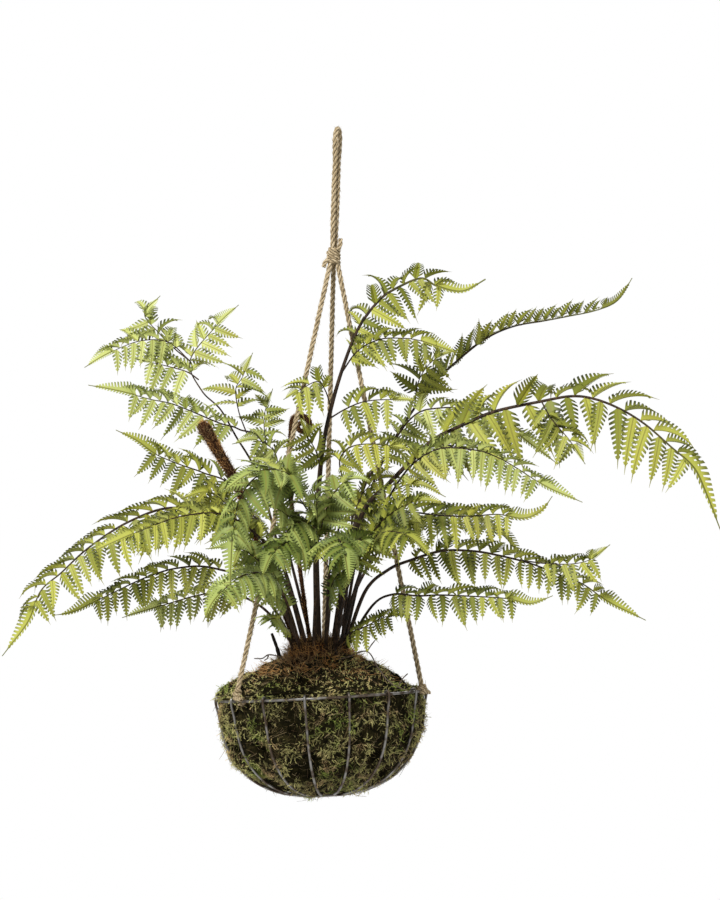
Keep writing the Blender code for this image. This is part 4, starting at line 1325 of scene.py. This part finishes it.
def comb_shape(teeth):
    """A leaflet 1 long and 1 wide to each side, from its stalk at the origin."""
    columns = 2 * teeth + 3
    pitch = (TOOTHED - STALK) / teeth
    comb = new_primitive("comb", bpy.ops.mesh.primitive_grid_add, x_subdivisions=columns - 1,
                         y_subdivisions=1, size=1)
    strip = comb.data
    column = [round((point.co.x + 0.5) * (columns - 1)) for point in strip.vertices]
    outer = [point.co.y > 0 for point in strip.vertices]
    select_none("EDGE")
    for line in strip.edges:
        a, b = line.vertices
        first = min(column[a], column[b])
        line.select = outer[a] and outer[b] and first % 2 == 1 and first < 2 * teeth
    with edit_mode():
        bpy.ops.mesh.extrude_edges_move(TRANSFORM_OT_translate={"value": (0, 1, 0)})
    settle(comb)
    tooth_shade_phase = strip.attributes.new("tooth_shade_phase", "FLOAT", "POINT")
    for point, far in zip(strip.vertices, tooth_shade_phase.data):
        at = round((point.co.x + 0.5) * (columns - 1))
        tooth, past = divmod(max(0, at - 1), 2)
        x = 0 if at == 0 else STALK + pitch * (tooth + TOOTH_SHARE * past)
        share = (x - STALK) / (TOOTHED - STALK)
        reach = min(1, 0.74 + 2.2 * max(0, share)) * max(0, 1 - share) ** 0.7
        web = 0.05 if at == 0 else 0.05 + 0.34 * reach
        if at == columns - 1:
            x, web = 1, 0.012
        # Outer points are marked 0 on a tooth's leading side and 1 on its trailing side, which is painted
        # with shade; midrib points get 0.5.
        far.value = past if point.co.y > 0 else 0.5
        if point.co.y > 0.6:
            x += pitch * (0.7 * reach + (-0.09 if past else 0.09))
            web = reach * (1.0 if past else 0.94) + 0.05
        point.co = (x, web if point.co.y > 0 else 0, -TOOTH_DROOP * (point.co.y > 0.6))
    mirror = comb.modifiers.new("other half", "MIRROR")
    mirror.use_axis = (False, True, False)
    mirror.merge_threshold = 0.00001
    bpy.ops.object.modifier_apply(modifier=mirror.name)
    sides = np.array([far.value for far in comb.data.attributes["tooth_shade_phase"].data])
    points, triangles, _ = take_shape(comb)
    return points, triangles, sides


COMBS = {teeth: comb_shape(teeth) for teeth in (6, 8, 10)}
end_comb = comb_shape(13)
print({teeth: len(shape[1]) for teeth, shape in COMBS.items()}, "triangles a leaflet")

# %% [markdown]
# ## Where leaflets stand
# Leaflets stand by turns on the two sides of a branch. Those above it reach forward and up, then arch over,
# and are folded like a shallow V with their faces to the sky. Those below hang down and turn their faces
# outward. Their length swells and then falls away towards the tip, where the branch ends in one long comb.

# %% Frond geometry
STEM_STEP = 0.002
SPACING = 0.215
LEAFLET_GROWTH = 1.5
LEAST_WIDTH = 0.0033
WIDENING = 0.13
COMB_LENGTH = 1.65
COMB_WIDTH = 0.0095
LONG_TEETH = 1.4
SHORT_TEETH = 0.5
TEN_TEETH_FROM = 0.041
EIGHT_TEETH_FROM = 0.030
SKY = np.array([0.0, 0.0, 1.0])
CUPPED = {"frond_upper_right": 0.75}
BROADER = 1.3
# What a leaflet is like by how much it points up, as places and values: its angle to the branch and its lift,
# how far it turns its face to the sky, its length and width, its fold in degrees and its bend.
ANGLES = ((-1, 0, 1), (74, 62, 54))
LIFTS = ((-1, 0, 1), (-0.28, -0.12, 0.02))
SKYWARD = ((-0.6, 0.5), (0.0, 0.85))
LENGTHS = ((-0.2, 0.6), (1, 0.84))
WIDTHS = ((-0.2, 0.6), (1.0, 1.6))
FOLDS = ((-0.6, 0.5), (12, 48))
BENDS = ((-0.8, 0.4), (0.35, 1.3))
PALE = ("frond_upper_left", "frond_high_left", "frond_lowest_left", "frond_mid_right", "frond_inner_right")
IN_FRONT = ("frond_front_high", "frond_front_low", "frond_front", "frond_small_left")


def swell(share):
    """How long the leaflets are along a branch, as a share of the longest."""
    return min(1, 0.70 + 1.2 * share) * (1 - share) ** 0.42


def blade_frames(points, turn):
    """The ways along, to the side and up off the blade at each point, carried from the tip to the foot."""
    face = np.array([0, -math.sin(math.radians(turn)), math.cos(math.radians(turn))])
    along = unit(np.gradient(points, axis=0))
    side = None
    sides = []
    for way in along[::-1]:
        crossed = np.cross(way, face)
        if side is not None and (np.linalg.norm(crossed) < 0.5 or crossed.dot(side) < 0):
            crossed = side - way * side.dot(way)
        side = unit(crossed)
        sides.append(side)
    sides = np.array(sides[::-1])
    return along, sides, np.cross(sides, along)


def leaflets_of(size, bare, turn, line, tint, cup=0.0, broad=1.0):
    """All the leaflets along one branch, as bent copies. cup lifts them, and broad ones are also flatter."""
    along, sides, ups = blade_frames(line, turn)
    walked = walk(line)
    length = walked[-1]
    comb = min(COMB_LENGTH * size * MM, 0.34 * (1 - bare) * length)
    place = bare * length
    rows = {teeth: [] for teeth in COMBS}
    flank = 1
    while place < length - comb * 0.9:
        share = (place - bare * length) / ((1 - bare) * length)
        long = size * MM * LEAFLET_GROWTH * swell(share) * random.uniform(0.78, 1.14)
        i = int(np.searchsorted(walked, place))
        out = flank * sides[i]
        rise = float(out[2])
        angle = math.radians(np.interp(rise, *ANGLES) + random.uniform(-12, 12))
        way = along[i] * math.cos(angle) + out * math.sin(angle)
        way = way + SKY * (np.interp(rise, *LIFTS) + cup)
        lifted = np.interp(rise, *SKYWARD)
        up = unit(ups[i] * (1 - lifted) + SKY * lifted + random.normal(size=3) * 0.26)
        long *= np.interp(rise, *LENGTHS)
        wide = broad * np.interp(rise, *WIDTHS)
        fold = math.radians(np.interp(rise, *FOLDS) + random.uniform(-8, 8)) / broad ** 2
        bend = -np.interp(rise, *BENDS) * random.uniform(0.4, 1.6) * (1 - cup)
        teeth = 10 if long * broad > TEN_TEETH_FROM else 8 if long > EIGHT_TEETH_FROM else 6
        own = np.clip(tint + random.uniform(-0.45, 0.45), 0, 1)
        rows[teeth].append((*line[i], *way, *up, long, (LEAST_WIDTH + WIDENING * long) * wide, bend,
                            random.uniform(-0.25, 0.25) * flank, fold, own))
        place += SPACING * size * MM * max(0.75, swell(share)) * random.uniform(0.88, 1.12)
        flank = -flank
    parts = []
    for teeth, table in rows.items():
        if table:
            table = np.array(table)
            parts.append(bent_copies(COMBS[teeth], *table[:, :9].reshape(-1, 3, 3).transpose(1, 0, 2),
                                     *table[:, 9:].T))
    parts.append(end_of(line, along, sides, ups, comb, tint))
    return parts


def end_of(line, along, sides, ups, comb, tint):
    """The long comb that a branch ends in, laid along the end of its line, with its longer teeth upwards."""
    points, triangles, tooth_shade_side = end_comb
    walked = walk(line)
    place = walked[-1] - comb + comb * points[:, 0]
    middle, side, up = (np.column_stack([np.interp(place, walked, rows[:, k]) for k in range(3)])
                        for rows in (line, sides, ups))
    width = COMB_WIDTH * min(1, comb / 0.055 + 0.2)
    sunny = points[:, 1] * np.interp(place.min(), walked, sides[:, 2]) > 0
    reach = points[:, 1] * width * np.where(sunny, LONG_TEETH, SHORT_TEETH)
    height = (np.abs(points[:, 1]) * 0.45 + points[:, 2]) * width
    placed = middle + side * reach[:, None] + up * height[:, None]
    marks = np.column_stack([tooth_shade_side, np.abs(points[:, 1]) * 0.8, np.full(len(points), min(1, tint + 0.2))])
    return placed, triangles, marks


# %% [markdown]
# ## Fronds
# Each frond is two pieces: its stems, which are tapered round tubes, and its leaflets, as one mesh.

# %% Fronds
CROWN_TUCK = 0.008
THINNEST_STEM = 0.00038
total = 0
for name, branches in FRONDS.items():
    lines = []
    widths = []
    marks = []
    parts = []
    tint = random.uniform(0.25, 0.75)
    for i, (size, bare, turn, thick, route) in enumerate(branches):
        route = hung(route, MM)
        if i == 0:
            route = np.array([route[0] - plumb * CROWN_TUCK, *route])
        line = smooth(route, STEM_STEP)
        share = walk(line) / walk(line)[-1]
        radius = thick * MM * (1.30 - 1.08 * share ** 0.70) if i == 0 else thick * MM * (0.75 - 0.5 * share)
        lines.append(line)
        widths.append(np.maximum(radius, THINNEST_STEM))
        marks.append(share if i == 0 else 0.3 + 0.7 * share)
        parts += leaflets_of(size, bare, turn, line, tint, CUPPED.get(name, 0) * (i == 0),
                             BROADER if name in IN_FRONT else 1)
    stems = tubes(f"{name}_stem", lines, widths)
    middles, shares = np.concatenate(lines), np.concatenate(marks)
    nearest = [int(np.argmin(((middles - point) ** 2).sum(axis=1))) for point in rows_of(stems.data.vertices)]
    set_marks(stems.data, [(share, 0, tint) for share in shares[nearest]])
    finish_piece(stems, stem, "fern_stem", name)
    blades = mesh_piece(f"{name}_leaflets", *joined(parts))
    select_only(blades)
    bpy.ops.object.shade_smooth_by_angle(angle=math.radians(40))
    finish_piece(blades, pale_leaf if name in PALE else front_leaf if name in IN_FRONT else olive_leaf,
                 "fern_leaf")
    total += len(blades.data.polygons)
print(total, "triangles of leaflet")

# %% [markdown]
# ## Croziers
# Two fronds haven't opened yet. One is a straight furry club, and the other is still rolled up like a
# fiddle's head. Both are tapered tubes under short dense fur.

# %% Croziers
CLUB_ROUTE = [(-42, -2, -519), (-72, -10, -440), (-100, -22, -361), (-120, -28, -324), (-136, -31, -297)]
COIL_ROUTE = [(-28, 6, -519), (-40, 20, -430), (-50, 30, -350), (-47.5, 30, -312)]
COIL_CENTRE = np.array([-36.5, 30, -299.5])
COIL_STEP = 27
COIL_RADIUS = 11.0
CLUB_THICK = 0.0066
COIL_THICK = 0.0034
club_line = smooth(hung(CLUB_ROUTE, MM), 0.003)
share = walk(club_line) / walk(club_line)[-1]
club_width = CLUB_THICK * (0.30 + 0.70 * share ** 2.2) * np.clip((1.012 - share) / 0.035, 0.1, 1) ** 0.5
coil_points = [np.array(point, float) for point in COIL_ROUTE]
for i in range(1, 17):
    angle = math.radians(180 - COIL_STEP * i)
    reach = COIL_RADIUS - 0.52 * i
    coil_points.append(COIL_CENTRE + np.array([reach * math.cos(angle), -0.25 * i, reach * math.sin(angle)]))
coil_line = smooth(hung(coil_points, MM), 0.0025)
coil_share = walk(coil_line) / walk(coil_line)[-1]
coil_width = COIL_THICK * np.interp(coil_share, (0, 0.72, 0.86, 1), (0.55, 0.75, 1.0, 0.7))
for name, node, line, width, hairs, long in (
        ("crozier_club_skin", "crozier_club", club_line, club_width, 2600, 0.0038),
        ("crozier_coil_skin", "crozier_coil", coil_line, coil_width, 1500, 0.0024)):
    skin = tubes(name, [line], [width], sides=4)
    finish_piece(skin, crown_bed, "crown_fur", node)
    root, out = scatter(skin, hairs)
    tip = unit(line[-1] - line[-6])
    way = unit(out * 0.75 + tip * 0.7 + random.normal(size=out.shape) * 0.35)
    data = bent_copies(hair, root, way, out, long * random.uniform(0.5, 1.1, hairs),
                       random.uniform(0.0003, 0.0006, hairs), random.uniform(-0.9, 0.3, hairs),
                       tint=random.uniform(0, 0.75, hairs))
    finish_piece(mesh_piece(f"{node}_fur", *data), fur, "crown_fur")

# %% [markdown]
# ## Twigs
# An old stem is broken off short at the crown, and two wiry dead twigs lie over the moss. Twigs are never
# even: noise moves their thickness, and small side shoots stand at their joints.

# %% Stub and twigs
twig, nodes = new_material("dry_twig", Roughness=0.75)
bark = object_noise(nodes, 300, 4, roughness=0.7)
grey = bark.ramp((0.3, (0.030, 0.020, 0.015)), (0.6, (0.12, 0.085, 0.055)), (0.8, (0.24, 0.19, 0.13)))
grey.to("Base Color")
roughen(nodes, bark, 0.0006)
DEAD_WOOD = {  # material, slot, radius, and then the main route and its side shoots
    "dead_stub": (stem, "fern_stem", 0.0022,
                  [(-56, -7, -536), (-58, -8, -531.5), (-61, -10, -521), (-66, -13, -507)]),
    "twig_left": (twig, "dry_twig", 0.00075,
                  [(-55, -26, -532.5), (-60, -28, -529), (-69, -31, -527.5), (-75, -33, -531),
                   (-83, -36, -531)],
                  [(-69, -31, -527.5), (-70, -32, -531), (-73, -34, -533)]),
    "twig_right": (twig, "dry_twig", 0.00075,
                   [(1, -44, -532), (10, -49, -529), (29, -60, -523), (40, -72, -539), (52, -84, -553),
                    (70, -92, -561)],
                   [(29, -60, -523), (33, -58, -517), (37, -56, -512)],
                   [(60, -78, -556), (64, -80, -549), (69, -80, -544)]),
}
for node, (finish, slot, thick, *routes) in DEAD_WOOD.items():
    lines = [smooth(hung(route, MM), 0.0015) for route in routes]
    widths = [thick * (1 + 0.25 * noise_at(line, 0.004)) * np.linspace(1, 0.7, len(line)) for line in lines]
    finish_piece(tubes(f"{node}_wood", lines, widths), finish, slot, node)

# %% [markdown]
# ## Room and light
# The object hangs over a plain pale floor, in an even white room. A soft light high at the front left gives
# the leaves their light side. A weaker one at the right fills in, and one behind lights the edges.

# %% Floor and lights
FLOOR_HEIGHT = -1.45
floor = new_primitive("floor", bpy.ops.mesh.primitive_plane_add, size=9, location=(0, 0, FLOOR_HEIGHT))
pale, nodes = new_material("pale_floor", Roughness=0.7)
object_noise(nodes, 2, 2).mix((0.83, 0.83, 0.82), (0.86, 0.86, 0.85)).to("Base Color")
floor.data.materials.append(pale)


def soft_light(name, place, size, power):
    """A square area light that faces the plant."""
    lamp = new_object(name, bpy.data.lights.new(name, "AREA"))
    lamp.data.size = size
    lamp.data.energy = power
    lamp.location = place
    lamp.rotation_euler = (Vector((0, 0, -0.4)) - Vector(place)).to_track_quat("-Z", "Y").to_euler()


soft_light("key", (-1.5, -2.4, 1.8), 0.8, 130)
soft_light("fill", (2.4, -2.0, 0.4), 1.6, 22)
soft_light("back", (0.4, 2.6, 1.2), 1.6, 30)
world = bpy.data.worlds.new("room")
bpy.context.scene.world = world
world.use_nodes = True
room = world.node_tree.nodes["Background"]
room.inputs["Color"].default_value = (1, 1, 1, 1)
seen = Socket(world.node_tree).add("LightPath", {}, {}, "Is Camera Ray")
world.node_tree.links.new(room.inputs["Strength"], (seen * 0.65 + 0.35).socket)
bpy.context.scene.view_settings.view_transform = "Standard"
print("lights are set")
